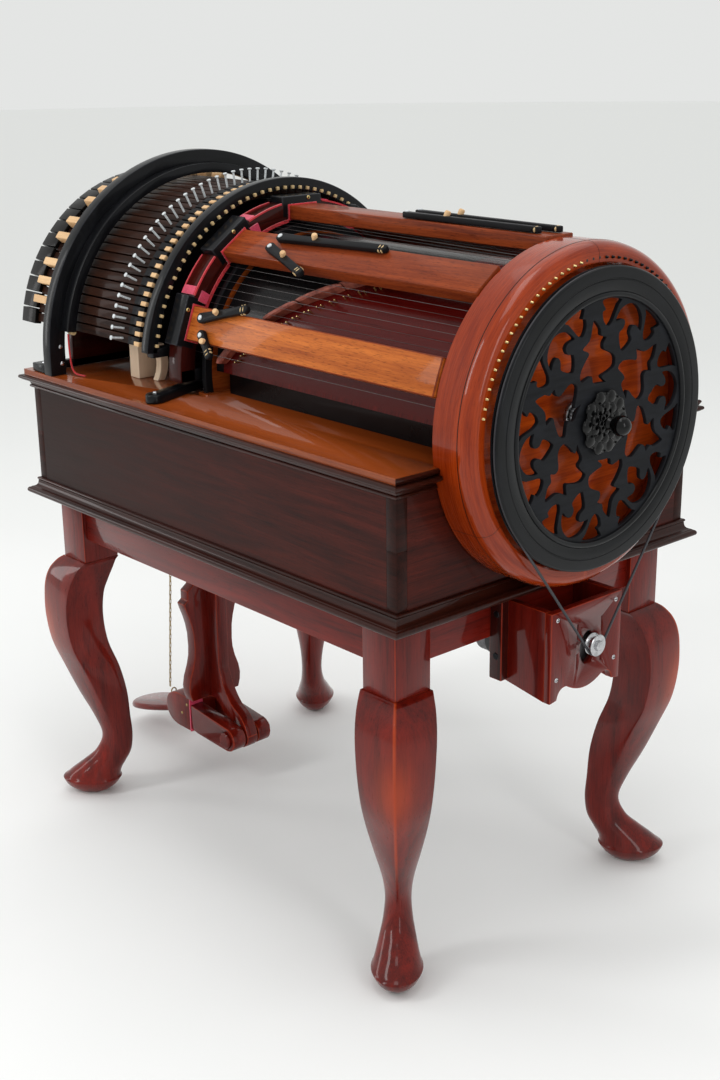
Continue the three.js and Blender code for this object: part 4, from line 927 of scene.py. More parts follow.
def build_hoop_board():
    low, high = span("hoop_board")
    face = high.x - 6
    outer = HOOP_OPENING - 0.6
    shape = Shape().add(turned([(18, face - 12), (outer, face - 12), (outer, face), (18, face)], 96,
                               closed=True), along_y, bevel=0.4)
    shape.add(turned([(8.4, low.x), (16, low.x), (18, low.x + 2), (18, high.x - 2), (16, high.x),
                      (8.4, high.x)], 48, closed=True), around, material=1, bevel=0.4)
    piece("hoop_board", shape, [HOOP_BOARD_WOOD, STEEL], replaces=["hoop_board"])


def build_tuning_pins():
    """Brass pins round the hoop's near side, three empty holes shown by dark discs of painted shade, then dark
    pins beyond the top.
    """
    pins, hole_shades = Shape(), Shape()
    for i in range(2 * NEAR_PINS + EMPTY_HOLES):
        centre = polar(HOOP_X[1], PIN_R, FIRST_PIN + i * KEY_PITCH)
        if NEAR_PINS <= i < NEAR_PINS + EMPTY_HOLES:
            # A dark disc of painted shade stands in for each hole.
            hole_shades.add(turned([(0, -0.5), (1.8, -0.5), (1.8, 0.06), (0, 0.06)], 12, centre))
        else:
            pins.add(turned(PIN_HEAD, 12, centre), material=0 if i < NEAR_PINS else 1)
    piece("tuning_pins", pins, [BRASS, DARK_METAL], smooth=50)
    piece("pin_hole_shades", hole_shades, [BLACK_RUBBER])


# ------------------------------------------------------------------ beams, soundboard and strings

def build_beams():
    for i, angle in enumerate(BEAM_ANGLES):
        node = f"beam_{i + 1}"
        shape = Shape().add(radial_block(BEAM_X, BEAM_R, BEAM_WIDTH, angle), along_x, bevel=1.6, edge=1,
                            rounds=3)
        # The first beam's faces get the painted-lit copy of the beam wood.
        face = BEAM_PAINTED_LIT if i == 0 else BEAM_WOOD
        piece(node, shape, [face, BEAM_WOOD], replaces=[node])
    felts = Shape()
    for angle in BEAM_ANGLES:
        felts.add(radial_block((BEAM_X[0] - 1.0, BEAM_X[0] + 1.2), (BEAM_R[0] - 2, BEAM_R[1] + 1.8),
                               BEAM_WIDTH + 4, angle), along_y, bevel=0.4)
    piece("beam_felts", felts, [RED_FELT])


SOUNDBOARD_END_ANGLE = 2
SOUNDBOARD_RAIL_Y = (150, 162)
SOUNDBOARD_RAIL_TOP = 846
BRIDGE_ANGLES = (6, 71)
BRIDGE_HEIGHT = 14
BRIDGE_WIDTH = 15
BRIDGE_JOINTS = (6, 17, 28, 38, 49, 60, 71)


def bridge_x(angle):
    """Where the bridge crosses, further from the keys as the strings get longer."""
    climbed = angle - BRIDGE_ANGLES[0]
    low = span("bridge")[0].x + BRIDGE_WIDTH / 2
    return low + 2.9 * climbed + 0.037 * climbed * climbed


def build_soundboard():
    """Half a cylinder on two rails, black on the key side of the bridge and red beyond it."""
    shape = Shape()
    skin = (SOUNDBOARD_R - 6, SOUNDBOARD_R)
    steps = 88
    for i in range(steps):
        a = SOUNDBOARD_END_ANGLE + 2 * i
        b = a + 2
        middle = (a + b) / 2
        bounded = min(max(middle, BRIDGE_ANGLES[0]), BRIDGE_ANGLES[1])
        change = bridge_x(bounded) if middle < 110 else SOUNDBOARD_X[1] - 200
        for material, x in ((1, (SOUNDBOARD_X[0], change)), (0, (change, SOUNDBOARD_X[1]))):
            verts = [polar(p, r, turn) for p in x for turn in (a, b) for r in skin]
            shape.add((verts, BLOCK_FACES), along_x, material=material)
    bmesh.ops.remove_doubles(shape.bm, verts=shape.bm.verts[:], dist=0.01)
    for side in (-1, 1):
        y = sorted(side * distance for distance in SOUNDBOARD_RAIL_Y)
        shape.add(block(SOUNDBOARD_X, y, (DECK_Z + GAP, SOUNDBOARD_RAIL_TOP)), along_x, material=1)
    piece("soundboard", shape, [SOUNDBOARD_RED, SOUNDBOARD_BLACK], replaces=["soundboard"],
          smooth=30)


def build_bridge():
    """A leather-faced strip in short lengths, thinner at each joint."""
    shape = Shape()
    foot, top = SOUNDBOARD_R + GAP, SOUNDBOARD_R + BRIDGE_HEIGHT
    for start, end in zip(BRIDGE_JOINTS, BRIDGE_JOINTS[1:]):
        steps = 6
        verts, faces = [], []
        for i in range(steps + 1):
            angle = start + 0.25 + (end - start - 0.5) * i / steps
            near_end = min(i, steps - i) == 0
            half = BRIDGE_WIDTH / 2 - (2.0 if near_end else 0.0)
            crown = top - (1.2 if near_end else 0.0)
            for radius, side in ((foot, -1), (foot, 1), (crown - 2, 1), (crown, 0.55), (crown, -0.55),
                                 (crown - 2, -1)):
                verts.append(polar(bridge_x(angle) + side * half, radius, angle))
        for i in range(steps):
            for k in range(6):
                a, b = 6 * i + k, 6 * i + (k + 1) % 6
                faces.append((a, b, b + 6, a + 6))
        faces += [tuple(range(6)), tuple(reversed(range(6 * steps, 6 * steps + 6)))]
        shape.add((verts, faces), along_x)
    piece("bridge", shape, [BRIDGE_LEATHER], replaces=["bridge"], smooth=30)


BRIDGE_PIN_COUNT = 18


def build_bridge_pins():
    """Pairs of small brass pins on the far side of the bridge."""
    shape = Shape()
    for i in range(BRIDGE_PIN_COUNT):
        angle = BRIDGE_ANGLES[0] + 2 + i * KEY_PITCH
        for step, turn in ((26, 0.0), (33, 1.1)):
            centre = polar(bridge_x(min(angle, 70)) + step + 1.2 * i, SOUNDBOARD_R, angle + turn)
            outward = polar(0, 1, angle) - Vector((0, 0, AXIS_Z))
            shape.add(turned([(0, 0), (1.5, 0), (1.5, 4.5), (1.0, 6), (0, 6.3)], 8, centre, outward))
    piece("bridge_pins", shape, [BRASS], smooth=50)


STRING_HIGH_R = 220
STRING_LOW_R = 207


def string_angle(i):
    return 90 + (i - (KEY_COUNT - 1) / 2) * KEY_PITCH


def build_strings():
    shape = Shape()
    for i in range(KEY_COUNT):
        angle = string_angle(i)
        thick = 0.32 + 0.45 * (1 - i / KEY_COUNT) if i > 24 else 0.34
        ends = [polar(BEAM_X[0] - 22, STRING_LOW_R - 3, angle), polar(BEAM_X[0] + 4, STRING_LOW_R, angle),
                polar(HOOP_X[0] - 1, STRING_HIGH_R - 22, angle)]
        shape.add(tube(ends, thick, 6))
    piece("strings", shape, [STRING_STEEL], smooth=60)


# ------------------------------------------------------------------ flywheel

PLATE_X = (FLYWHEEL_X[0] + 2, FLYWHEEL_X[0] + 8)
RIM_INNER = 156
TRACERY_SECTORS = 6
# Openings of one sector as points of (distance from the centre, distance along the tangent).
LEAF = [(133, 0), (120, -10), (111, -11), (107, -20), (100, -14), (92, -15), (85, -33), (72, -33), (63, -19),
        (58, -6), (50, -13), (52, 6), (57, 12), (65, 14), (69, 33), (80, 35), (89, 23), (95, 15), (105, 26),
        (109, 15), (115, 9), (129, 4)]
SCROLL = [(126, -27), (140, -24), (149, -14), (153, 0), (149, 14), (140, 24), (126, 27), (129, 17), (129, 11),
          (125, 8), (119, 9), (112, 14), (101, 9), (91, 0), (99, -9), (110, -14), (116, -8), (121, -7),
          (126, -9), (128, -16)]
DROP = [(154, 20), (147, 15), (137, 10), (125, 4), (120, -4), (128, -13), (139, -16), (142, -11), (147, -15),
        (154, -17), (155.5, 1)]
DROP_TURN = 13


def sector_outline(points, turn, flip=1):
    """A sector's opening as a smooth closed loop round the wheel's centre."""
    found = []
    for out, along in smooth_loop(points, 4):
        angle = math.radians(turn) + flip * along / out
        found.append((out * math.cos(angle), out * math.sin(angle)))
    return found


def tracery_mesh():
    """The pierced plate: a filled flat curve with every opening as a hole in it."""
    data = bpy.data.curves.new("tracery", "CURVE")
    data.dimensions = "2D"
    data.fill_mode = "BOTH"
    data.extrude = (PLATE_X[1] - PLATE_X[0]) / 2 - 0.7
    data.bevel_depth = 0.7
    data.bevel_resolution = 1
    loops = [arc((0, 0), RIM_INNER + 3, 0, 360, 120)[:-1], arc((0, 0), 9, 360, 0, 24)[:-1]]
    for i in range(TRACERY_SECTORS):
        turn = 9 + 60 * i
        loops.append(sector_outline(SCROLL, turn))
        loops.append(sector_outline(LEAF, turn + 30))
        loops.append(sector_outline(DROP, turn + 30 + DROP_TURN))
        loops.append(sector_outline(DROP, turn + 30 - DROP_TURN, -1))
    for loop in loops:
        spline = data.splines.new("POLY")
        spline.points.add(len(loop) - 1)
        for point, (u, v) in zip(spline.points, loop):
            point.co = (u, v, 0, 1)
        spline.use_cyclic_u = True
    temporary = bpy.data.objects.new("tracery", data)
    bpy.context.scene.collection.objects.link(temporary)
    mesh = bpy.data.meshes.new_from_object(temporary.evaluated_get(bpy.context.evaluated_depsgraph_get()))
    bpy.data.objects.remove(temporary)
    verts = [Vector((sum(PLATE_X) / 2 + v.co.z, v.co.x, AXIS_Z + v.co.y)) for v in mesh.vertices]
    faces = [tuple(p.vertices) for p in mesh.polygons]
    bpy.data.meshes.remove(mesh)
    return verts, faces


def build_flywheel():
    front, back = FLYWHEEL_X[1], FLYWHEEL_X[0]
    belt = PULLEY.x
    round_edge = 3.2
    shape = Shape()
    shape.add(turned([
        (RIM_INNER, back), (FLYWHEEL_R - 1, back), (FLYWHEEL_R, back + 1), (FLYWHEEL_R, belt - 3.6),
        (FLYWHEEL_R - 5.5, belt - 1.8), (FLYWHEEL_R - 5.5, belt + 1.8), (FLYWHEEL_R, belt + 3.6),
        *[(FLYWHEEL_R - round_edge + round_edge * math.cos(math.radians(a)),
           front - 1.2 - round_edge + round_edge * math.sin(math.radians(a))) for a in range(20, 91, 14)],
        (FLYWHEEL_R - 15, front - 1.2), (FLYWHEEL_R - 15.6, front - 2.0), (FLYWHEEL_R - 16.6, front - 2.0),
        (FLYWHEEL_R - 17.2, front - 1.2), (RIM_INNER + 9, front - 1.2), (RIM_INNER + 8, front - 1.8),
        *[(RIM_INNER + 4 + 3.4 * math.cos(math.radians(a)), front - 2.2 + 2.2 * math.sin(math.radians(a)))
          for a in range(0, 181, 22)],
        (RIM_INNER, front - 3),
    ], 160, closed=True), around)
    shape.add(tracery_mesh(), along_y, material=1)
    piece("flywheel", shape, [BLACK_RIM, BLACK_PLATE], body="wheel", replaces=["flywheel"],
          smooth=40)


def build_rosette():
    """A carved flower: a scalloped dish, rings of petals and small studs."""
    back = ROSETTE_X[0]
    dish = []
    for i in range(120):
        angle = 3 * i
        reach = ROSETTE_R - 3 + 2.6 * abs(math.cos(math.radians(angle * 5)))
        dish.append((reach * math.cos(math.radians(angle)), AXIS_Z + reach * math.sin(math.radians(angle))))
    shape = Shape().add(prism(dish, on_yz, (back, back + 3.4)), along_y, bevel=1.0)
    axis = Vector((1, 0, 0))
    for count, ring, size, lift, turn in ((10, 33, 9.6, 1, 0), (10, 20.5, 7.2, 3, 18),
                                          (8, 10.5, 4.8, 4.5, 0)):
        for i in range(count):
            angle = turn + 360 * i / count
            shape.add(ball(polar(back + lift, ring, angle), size, 14, axis, 0.42, 0), along_y)
    for i in range(10):
        shape.add(ball(polar(back + 3.4, 37, 18 + 36 * i), 1.7, 8, axis, 1.0, 0), along_y)
        shape.add(ball(polar(back + 5.0, 24, 36 * i), 1.3, 8, axis, 1.0, 0), along_y)
    piece("hub_rosette", shape, [BLACK_GLOSS], body="wheel", replaces=["hub_rosette"],
          smooth=50)


def build_knob():
    base, tip = KNOB_X
    centre = tip - KNOB_R
    profile = [(0, base), (9, base), (9, base + 1.5), (6.4, base + 4), (6.2, base + 6)]
    for i in range(15):
        turn = math.radians(-58 + 148 * i / 14)
        profile.append((max(0.0, KNOB_R * math.cos(turn)), centre + KNOB_R * math.sin(turn)))
    profile[-1] = (0, tip)
    piece("knob", Shape().add(turned(profile, 40), around), [BLACK_GLOSS], body="wheel",
          replaces=["knob"], smooth=50)


def build_shaft():
    low, high = span("main_shaft")
    radius = high.y
    profile = [(0, low.x), (radius - 1, low.x), (radius, low.x + 1), (radius, FLYWHEEL_X[0] - GAP),
               (radius - 2.3, FLYWHEEL_X[0] - GAP), (radius - 2.3, high.x), (0, high.x)]
    piece("main_shaft", Shape().add(turned(profile, 32), around), [STEEL], body="wheel",
          replaces=["main_shaft"])
    bore = radius + GAP
    wheel = Shape()
    wheel.add(turned([(bore, BOW_X[0]), (BOW_R - 12, BOW_X[0]), (BOW_R - 12, BOW_X[0] + 9),
                      (26, BOW_X[0] + 9), (26, BOW_X[1] - 1), (25, BOW_X[1]), (bore, BOW_X[1])], 96,
                     closed=True), along_y)
    wheel.add(turned([(BOW_R - 12, BOW_X[0]), (BOW_R - 1, BOW_X[0]), (BOW_R, BOW_X[0] + 1),
                      (BOW_R, BOW_X[0] + 8), (BOW_R - 1, BOW_X[0] + 9), (BOW_R - 12, BOW_X[0] + 9)], 128,
                     closed=True), around, material=1)
    piece("bowing_wheel", wheel, [DECK_WOOD, BLACK_MATT], body="wheel", replaces=["bowing_wheel"])


# ------------------------------------------------------------------ frames and arches at the key end

FRAME_RING = (206, 232)
FRAME_BLOCK_R = (208, 239)
FRAME_BLOCK_WIDTH = 74
FRAME_SILL_Z = 756
FRAME_FOOT_HALF = 148


def half_ring(x, radius, foot, steps=72):
    """An arch with straight feet, as a prism along x."""
    inner, outer = radius
    outline = [(-outer, foot), (-outer, AXIS_Z)]
    outline += arc((0, AXIS_Z), outer, 180, 0, steps)[1:]
    outline += [(outer, foot), (inner, foot), (inner, AXIS_Z)]
    outline += arc((0, AXIS_Z), inner, 0, 180, steps)[1:]
    outline += [(-inner, foot)]
    return prism(outline, on_yz, x)


def ring_part(x, radius, angles, steps=60):
    """Part of a flat ring between two angles round the drum."""
    inner, outer = radius
    outline = arc((0, AXIS_Z), outer, 180 - angles[0], 180 - angles[1], steps)
    outline += arc((0, AXIS_Z), inner, 180 - angles[1], 180 - angles[0], steps)
    return prism(outline, on_yz, x)


def build_key_end_frame():
    x = (FRAME_LOW.x, FRAME_HIGH.x)
    shape = Shape().add(half_ring(x, FRAME_RING, FRAME_SILL_Z), around, bevel=1.2, material=2)
    for angle in BEAM_ANGLES:
        shape.add(radial_block((x[0] - 0.05, x[1] + 0.05), FRAME_BLOCK_R, FRAME_BLOCK_WIDTH, angle), along_y,
                  bevel=1.6, rounds=3, edge=1)
    reach = FRAME_RING[1] - 1
    shape.add(block(x, (-reach, reach), (FRAME_SILL_Z, FRAME_SILL_Z + 18)), along_y, bevel=1.0)
    shape.add(block(x, (-FRAME_FOOT_HALF, FRAME_FOOT_HALF), (DECK_Z + GAP, FRAME_SILL_Z + 1)), along_y,
              bevel=1.0, edge=1)
    shape.add(turned([(8.4, x[0]), (26, x[0]), (26, x[1]), (8.4, x[1])], 48, closed=True), around, bevel=1.0)
    piece("key_end_frame", shape, [BLACK_WOOD, BLACK_EDGE_HIGHLIGHT, MAHOGANY_DARK], replaces=["key_end_frame"],
          smooth=30)

    eyelets, felts = Shape(), Shape()
    for radius, angle in ((234, 24), (235, 57), (235, 93), (235, 127), (234, 158)):
        eyelets.add(turned([(1.2, -1), (3.0, -1), (3.0, 0.8), (2.4, 1.5), (1.6, 1.5), (1.2, 0.8)], 20,
                           polar(x[1], radius, angle), closed=True))
    piece("eyelets", eyelets, [BRASS], smooth=50)
    for start, end in zip(BEAM_ANGLES, BEAM_ANGLES[1:]):
        for edge in x:
            felts.add(ring_part((edge - 1.2, edge + 1.2), (230.5, 233), (start + 9.6, end - 9.6), 18), around,
                      material=1)
        felts.add(ring_part((x[0] + 1, x[1] - 1), (231.5, 234), (start + 9.6, start + 12.8), 4), around)
        felts.add(ring_part((x[1] - 0.2, x[1] + 1.6), (203, 207.5), (start + 7.5, end - 7.5), 18), around,
                  material=1)
        felts.add(ring_part((x[1] - 0.2, x[1] + 3.0), (209, 223), (start + 8.4, start + 12.5), 6), around)
    piece("frame_felts", felts, [PINK_FELT, RED_FELT])


GUIDE_DEPTH = 16
GUIDE_R = (244, 262)
GUIDE_ANGLES = (7, 173)
GUIDE_LEG_Y = (110, 130)
GUIDE_BAR_Z = (AXIS_Z + 24, AXIS_Z + 38)
KEY_BOARD_R = 226
MIDDLE_BOARD_HALF = 190
KEY_BOARD_THICKNESS = 12
SOLE_THICKNESS = 10


def end_board(x, half_width):
    """A half disc cut straight at its sides, standing on the deck."""
    spring = math.degrees(math.acos(half_width / KEY_BOARD_R))
    outline = [(-half_width, DECK_Z + GAP), *arc((0, AXIS_Z), KEY_BOARD_R, 180 - spring, spring, 90),
               (half_width, DECK_Z + GAP)]
    return prism(outline, on_yz, x)


def build_guide_arch():
    """The bead arch over the keys on two inner legs, its base and the board at the base's far end."""
    x = (GUIDE_HIGH.x - GUIDE_DEPTH, GUIDE_HIGH.x)
    foot = DECK_Z + GAP
    shape = Shape().add(ring_part(x, GUIDE_R, GUIDE_ANGLES, 110), around, bevel=1.3, rounds=3, edge=1)
    for side in (-1, 1):
        bar_y = mirrored(side, GUIDE_LEG_Y[0], GUIDE_R[0] + 6)
        leg_y = mirrored(side, GUIDE_LEG_Y[0], GUIDE_LEG_Y[1])
        shape.add(block(x, bar_y, GUIDE_BAR_Z), along_y, bevel=1.0)
        shape.add(block(x, leg_y, (foot + SOLE_THICKNESS, GUIDE_BAR_Z[0])), along_z, bevel=0.8)
    shape.add(block((GUIDE_LOW.x, x[1]), (-GUIDE_LEG_Y[1], GUIDE_LEG_Y[1]), (foot, foot + SOLE_THICKNESS)),
              along_x, bevel=0.8)
    shape.add(end_board((GUIDE_LOW.x, GUIDE_LOW.x + KEY_BOARD_THICKNESS), MIDDLE_BOARD_HALF), along_y,
              bevel=1.0, material=2)
    piece("guide_arch", shape, [BLACK_WOOD, BLACK_EDGE_HIGHLIGHT, BLACK_MATT], replaces=["guide_arch"],
          smooth=30)
    beads = Shape()
    for i in range(KEY_COUNT):
        beads.add(radial_block((x[1] - 0.5, x[1] + 4), (GUIDE_R[0] + 1, GUIDE_R[0] + 6), 4.6,
                               string_angle(i)),
                  along_x, bevel=0.8)
    piece("guide_beads", beads, [TAN_RING])


ARCH_RING = (264, 292)
RAIL_R = (257, 272)
RAIL_X = (-346, -326)


def build_key_arch():
    face = RAIL_X[0]
    back = face - 20
    foot = DECK_Z + GAP
    shape = Shape().add(half_ring((back, face), ARCH_RING, foot, 110), around, bevel=1.4, rounds=3, edge=1)
    shape.add(ring_part((face - 0.5, RAIL_X[1]), RAIL_R, (8, 172), 110), around, bevel=1.0)
    for side in (-1, 1):
        y = mirrored(side, ARCH_RING[0] - 4, ARCH_RING[1] - 4)
        shape.add(block((ARCH_LOW.x, back + 1), y, (foot, foot + 13)), along_x, bevel=1.5)
    board_x = (ARCH_LOW.x + 8, ARCH_LOW.x + 8 + KEY_BOARD_THICKNESS)
    shape.add(block(board_x, (-ARCH_RING[0] - 6, ARCH_RING[0] + 6), (foot, foot + 12)), along_y, bevel=1.0)
    shape.add(end_board(board_x, KEY_BOARD_R), along_y, bevel=1.0, material=2)
    piece("key_arch", shape, [BLACK_WOOD, BLACK_EDGE_HIGHLIGHT, MAHOGANY_DARK], replaces=["key_arch"],
          smooth=30)
    screws = Shape()
    for side in (-1, 1):
        for y, z in ((272, 778), (271, 752)):
            screws.add(ball((face, side * y, z), 3.6, 16, (1, 0, 0), 0.5, 0))
        screws.add(ball(((ARCH_LOW.x + back) / 2 - 4, side * 276, foot + 13), 4.2, 16, (0, 0, 1), 0.6, 0))
        screws.add(turned([(0, 0), (2.6, 0), (2.6, 3), (3.6, 3), (3.6, 5), (0, 5)], 14,
                          (face, side * 257, 801)))
    piece("arch_screws", screws, [STEEL], smooth=45)
    stop = Shape().add(turned([(0, 3), (3.8, 3), (4.2, 4), (4.2, 15), (3.8, 16), (0, 16)], 18,
                              (face, -256, 800)),
                       along_x)
    piece("stop_bead", stop, [TAN_RING], smooth=45)


def build_maple_blocks():
    """Three pale maple blocks between the deck and the keys on the near side."""
    shape = Shape()
    shape.add(block((-264, -240), (-201, -165), (DECK_Z, DECK_Z + 62)), along_z, bevel=0.8)
    bow = [(0, 0), *curve((0, 0), (15, 26), (0, 56), steps=10), (14, 56),
           *curve((14, 56), (28, 26), (13, 0), steps=10)]
    shape.add(prism(bow, lambda u, v, w: Vector((w, -190 + u, DECK_Z + v)), (-220, -207)), along_z, bevel=0.6)
    shape.add(block((-194, -183), (-153, -137), (DECK_Z, DECK_Z + 44)), along_z, bevel=0.8)
    piece("maple_blocks", shape, [MAPLE_PALE])


# The red cord: down from the rail's end, then along the deck.
RED_CORD_ROUTE = [
    (-336, -263, 798), (-336, -263, 780), (-335.5, -262.5, 762), (-334, -261.5, 747),
    (-329, -260, 738.5), (-320, -258, 736), (-308, -255, 735.9),
]
RED_CORD_RADIUS = 1.5


def in_metres(p):
    return Vector((p[0] * MM + SHIFT_X, p[1] * MM, p[2] * MM))


def build_red_cord():
    route = smooth_rows(RED_CORD_ROUTE, 4)
    shape = Shape().add(tube(route, RED_CORD_RADIUS, 10))
    cord = piece("red_cord", shape, [CORD_RED], replaces=["red_cord"], smooth=60)
    path = [in_metres(p) for p in route]


# ------------------------------------------------------------------ keys

KEY_R = (236, 249)
KEY_X = (-453, -143.5)
KEY_WIDTH = 12.4
HEAD_X = (-494, -454)
HEAD_R = (242, 254)
HEAD_WIDTH = 22.9
SHARP_X = (-450, -396)
SHARP_R = 264
TAIL_X = (-190, -161)
TAIL_R = 254
SCREW_X = -210
SCREW_HEAD_R = 271
BANK_RAIL_X = (-200, -180)
BANK_RAIL_R = (227, 237)


def is_sharp(i):
    return KEY_NAMES[i % 12].endswith("sharp")


def head_angle(n):
    return 90 + (n - (NATURAL_COUNT - 1) / 2) * NATURAL_PITCH


def add_key(shape, i):
    """One key: materials are 0 lever, 1 head, 2 maple, 3 black tail, 4 screw."""
    angle = string_angle(i)
    shape.add(radial_block(KEY_X, KEY_R, KEY_WIDTH, angle), along_x, bevel=0.9)
    if is_sharp(i):
        shape.add(radial_block(SHARP_X, (KEY_R[1] - 1, SHARP_R), KEY_WIDTH - 0.4, angle), along_x,
                  material=2, bevel=1.4, rounds=3)
    else:
        before = sum(not is_sharp(k) for k in range(i))
        middle = head_angle(before)
        shape.add(radial_block(HEAD_X, HEAD_R, HEAD_WIDTH, middle), along_x, material=1, bevel=1.1, rounds=3)
        blend = min(max(angle, middle - 1.1), middle + 1.1)
        shape.add(radial_block((HEAD_X[1] - 2, KEY_X[0] + 3), (HEAD_R[0] + 1, KEY_R[1] - 1), KEY_WIDTH - 3,
                               blend),
                  along_x, bevel=0.4)
    shape.add(radial_block(TAIL_X, (KEY_R[1] - 1, TAIL_R), KEY_WIDTH - 0.6, angle), along_x, material=3,
              bevel=0.7)
    shape.add(radial_block((TAIL_X[1] - 12, TAIL_X[1] + 1), (KEY_R[1], TAIL_R + 0.6), 6.6, angle - 0.7),
              along_x, material=2, bevel=0.6)
    outward = polar(0, 1, angle) - Vector((0, 0, AXIS_Z))
    foot = polar(SCREW_X, KEY_R[1] - 1, angle)
    reach = SCREW_HEAD_R - KEY_R[1] + 1
    shape.add(turned([(0, 0), (1.6, 0), (1.6, reach - 2), (0, reach - 2)], 8, foot, outward), material=4)
    shape.add(turned([(0, reach - 2.6), (2.6, reach - 2.6), (3.3, reach - 1.8), (3.3, reach - 0.6),
                      (2.4, reach), (0, reach)], 14, foot, outward), material=4)


KEY_MATERIALS = [KEY_WOOD, KEY_BLACK, MAPLE, BLACK_MATT, WHITE_HEAD]


def build_keys():
    for i in range(MOVING_KEYS):
        name = f"key_{KEY_NAMES[i]}{7 if i == 0 else 6}"
        shape = Shape()
        add_key(shape, i)
        piece(name, shape, KEY_MATERIALS, body=f"{name}_arm", replaces=[name])
    bank = Shape()
    for i in range(MOVING_KEYS, KEY_COUNT):
        add_key(bank, i)
    bank.add(ring_part(BANK_RAIL_X, BANK_RAIL_R, (string_angle(MOVING_KEYS) - 1.4, string_angle(48) + 1.4)),
             around, material=3)
    piece("key_bank", bank, KEY_MATERIALS, replaces=["key_bank"])


# ------------------------------------------------------------------ stop levers

LEVER_R = BEAM_R[1] + 1
LEVER_THICKNESS = 8
# For each lever: its beam, pivot and tip as (x, offset up the beam), width, knob's share of the
# length and the number of rings near the tip.
STOP_LEVERS = {
    "a": (0, (-52, 9), (40, 33), 15, 0.36, 2),
    "b": (0, (-43, -14), (-16, -40), 14, 0.30, 2),
    "c": (1, (14, -8), (112, -44), 15, 0.42, 2),
    "d": (1, (16, 13), (224, 20), 13, 0.33, 2),
    "e": (2, (158, -15), (398, -15), 12, 0.30, 1),
    "f": (2, (155, 12), (412, 9), 12, 0.37, 1),
}


def build_stop_levers():
    """Flat black levers on the beams: a white-headed pivot, a maple knob and thread rings at the tip."""
    for letter, (beam, pivot_at, tip, width, knob_share, rings) in STOP_LEVERS.items():
        angle = BEAM_ANGLES[beam]
        along = Vector((tip[0] - pivot_at[0], tip[1] - pivot_at[1]))
        length = along.length
        along.normalize()

        def place(u, v, w):
            x = pivot_at[0] + along.x * u - along.y * v
            return polar(x, LEVER_R + w, angle, pivot_at[1] + along.y * u + along.x * v)

        def direction(u, v, w):
            return place(u, v, w) - place(0, 0, 0)

        half = width / 2
        outline = arc((0, 0), half, 90, 270, 10)
        outline += curve(outline[-1], (length * 0.3, -half * 0.8), (length * 0.6, -half * 0.75),
                         (length, -half * 0.8), steps=6)[:-1]
        outline += arc((length, 0), half * 0.8, -90, 90, 10)
        outline += curve(outline[-1], (length * 0.6, half * 0.75), (length * 0.3, half * 0.8), (0, half),
                         steps=6)[:-1]
        shape = Shape().add(prism(outline, place, (0, LEVER_THICKNESS)), along_x, bevel=1.6, rounds=3)
        shape.add(turned([(0, LEVER_THICKNESS - 0.5), (3.6, LEVER_THICKNESS - 0.5),
                          (3.6, LEVER_THICKNESS + 1.2),
                          (2.6, LEVER_THICKNESS + 2), (0, LEVER_THICKNESS + 2)], 18, place(1, 0, 0),
                         direction(0, 0, 1)), material=1)
        knob_at = min(length * knob_share, 75)
        lean = direction(0.35, 0.25, 1).normalized()
        shape.add(turned([(0, 3), (3.6, 3), (4.0, LEVER_THICKNESS), (4.4, LEVER_THICKNESS + 5.5),
                          (3.4, LEVER_THICKNESS + 7.5), (0, LEVER_THICKNESS + 8)], 18, place(knob_at, 0, 0),
                          lean),
                  along_z, material=2)
        for i in range(rings + 1):
            at = length - 2 - 5.5 * i
            ring_half = half * 0.72 + 0.7
            ring_rise = LEVER_THICKNESS / 2 - 0.9
            loop = [place(at, ring_half * math.cos(t), LEVER_THICKNESS / 2 + ring_rise * math.sin(t))
                    for t in turns(18)]
            shape.add(tube(loop, 1.5 if i < rings else 1.0, 6, closed=True), material=3 if i < rings else 0)
        piece(f"stop_lever_{letter}", shape, [BLACK_MATT, WHITE_HEAD, MAPLE, TAN_RING],
              body=f"stop_arm_{letter}", replaces=[f"stop_lever_{letter}"], smooth=40)


def build_deck_lever():
    x, y = pivot("deck_lever_turn").x, pivot("deck_lever_turn").y
    outline = arc((x, y), 13, 6, 191, 14)
    outline += [(x, y - 26), (x + 24, y - 100), *curve((x + 24, y - 100), (x + 24, y - 122),
                                                       (x + 40, y - 124)),
                *curve((x + 40, y - 124), (x + 54, y - 122), (x + 52, y - 104)), (x + 20, y - 24)]
    shape = Shape().add(prism(outline, on_xy, (DECK_Z + GAP, DECK_Z + GAP + 13)), along_y, bevel=2.4,
                        rounds=3)
    shape.add(turned([(0, 0), (3.4, 0), (3.4, 1.6), (2.4, 3), (0, 3.4)], 16, (x + 38, y - 108, DECK_Z + 13),
                     (0, 0, 1)), material=1)
    piece("deck_lever", shape, [BLACK_WOOD, STEEL], body="deck_arm", replaces=["deck_lever"],
          smooth=35)


# ------------------------------------------------------------------ motor and belt

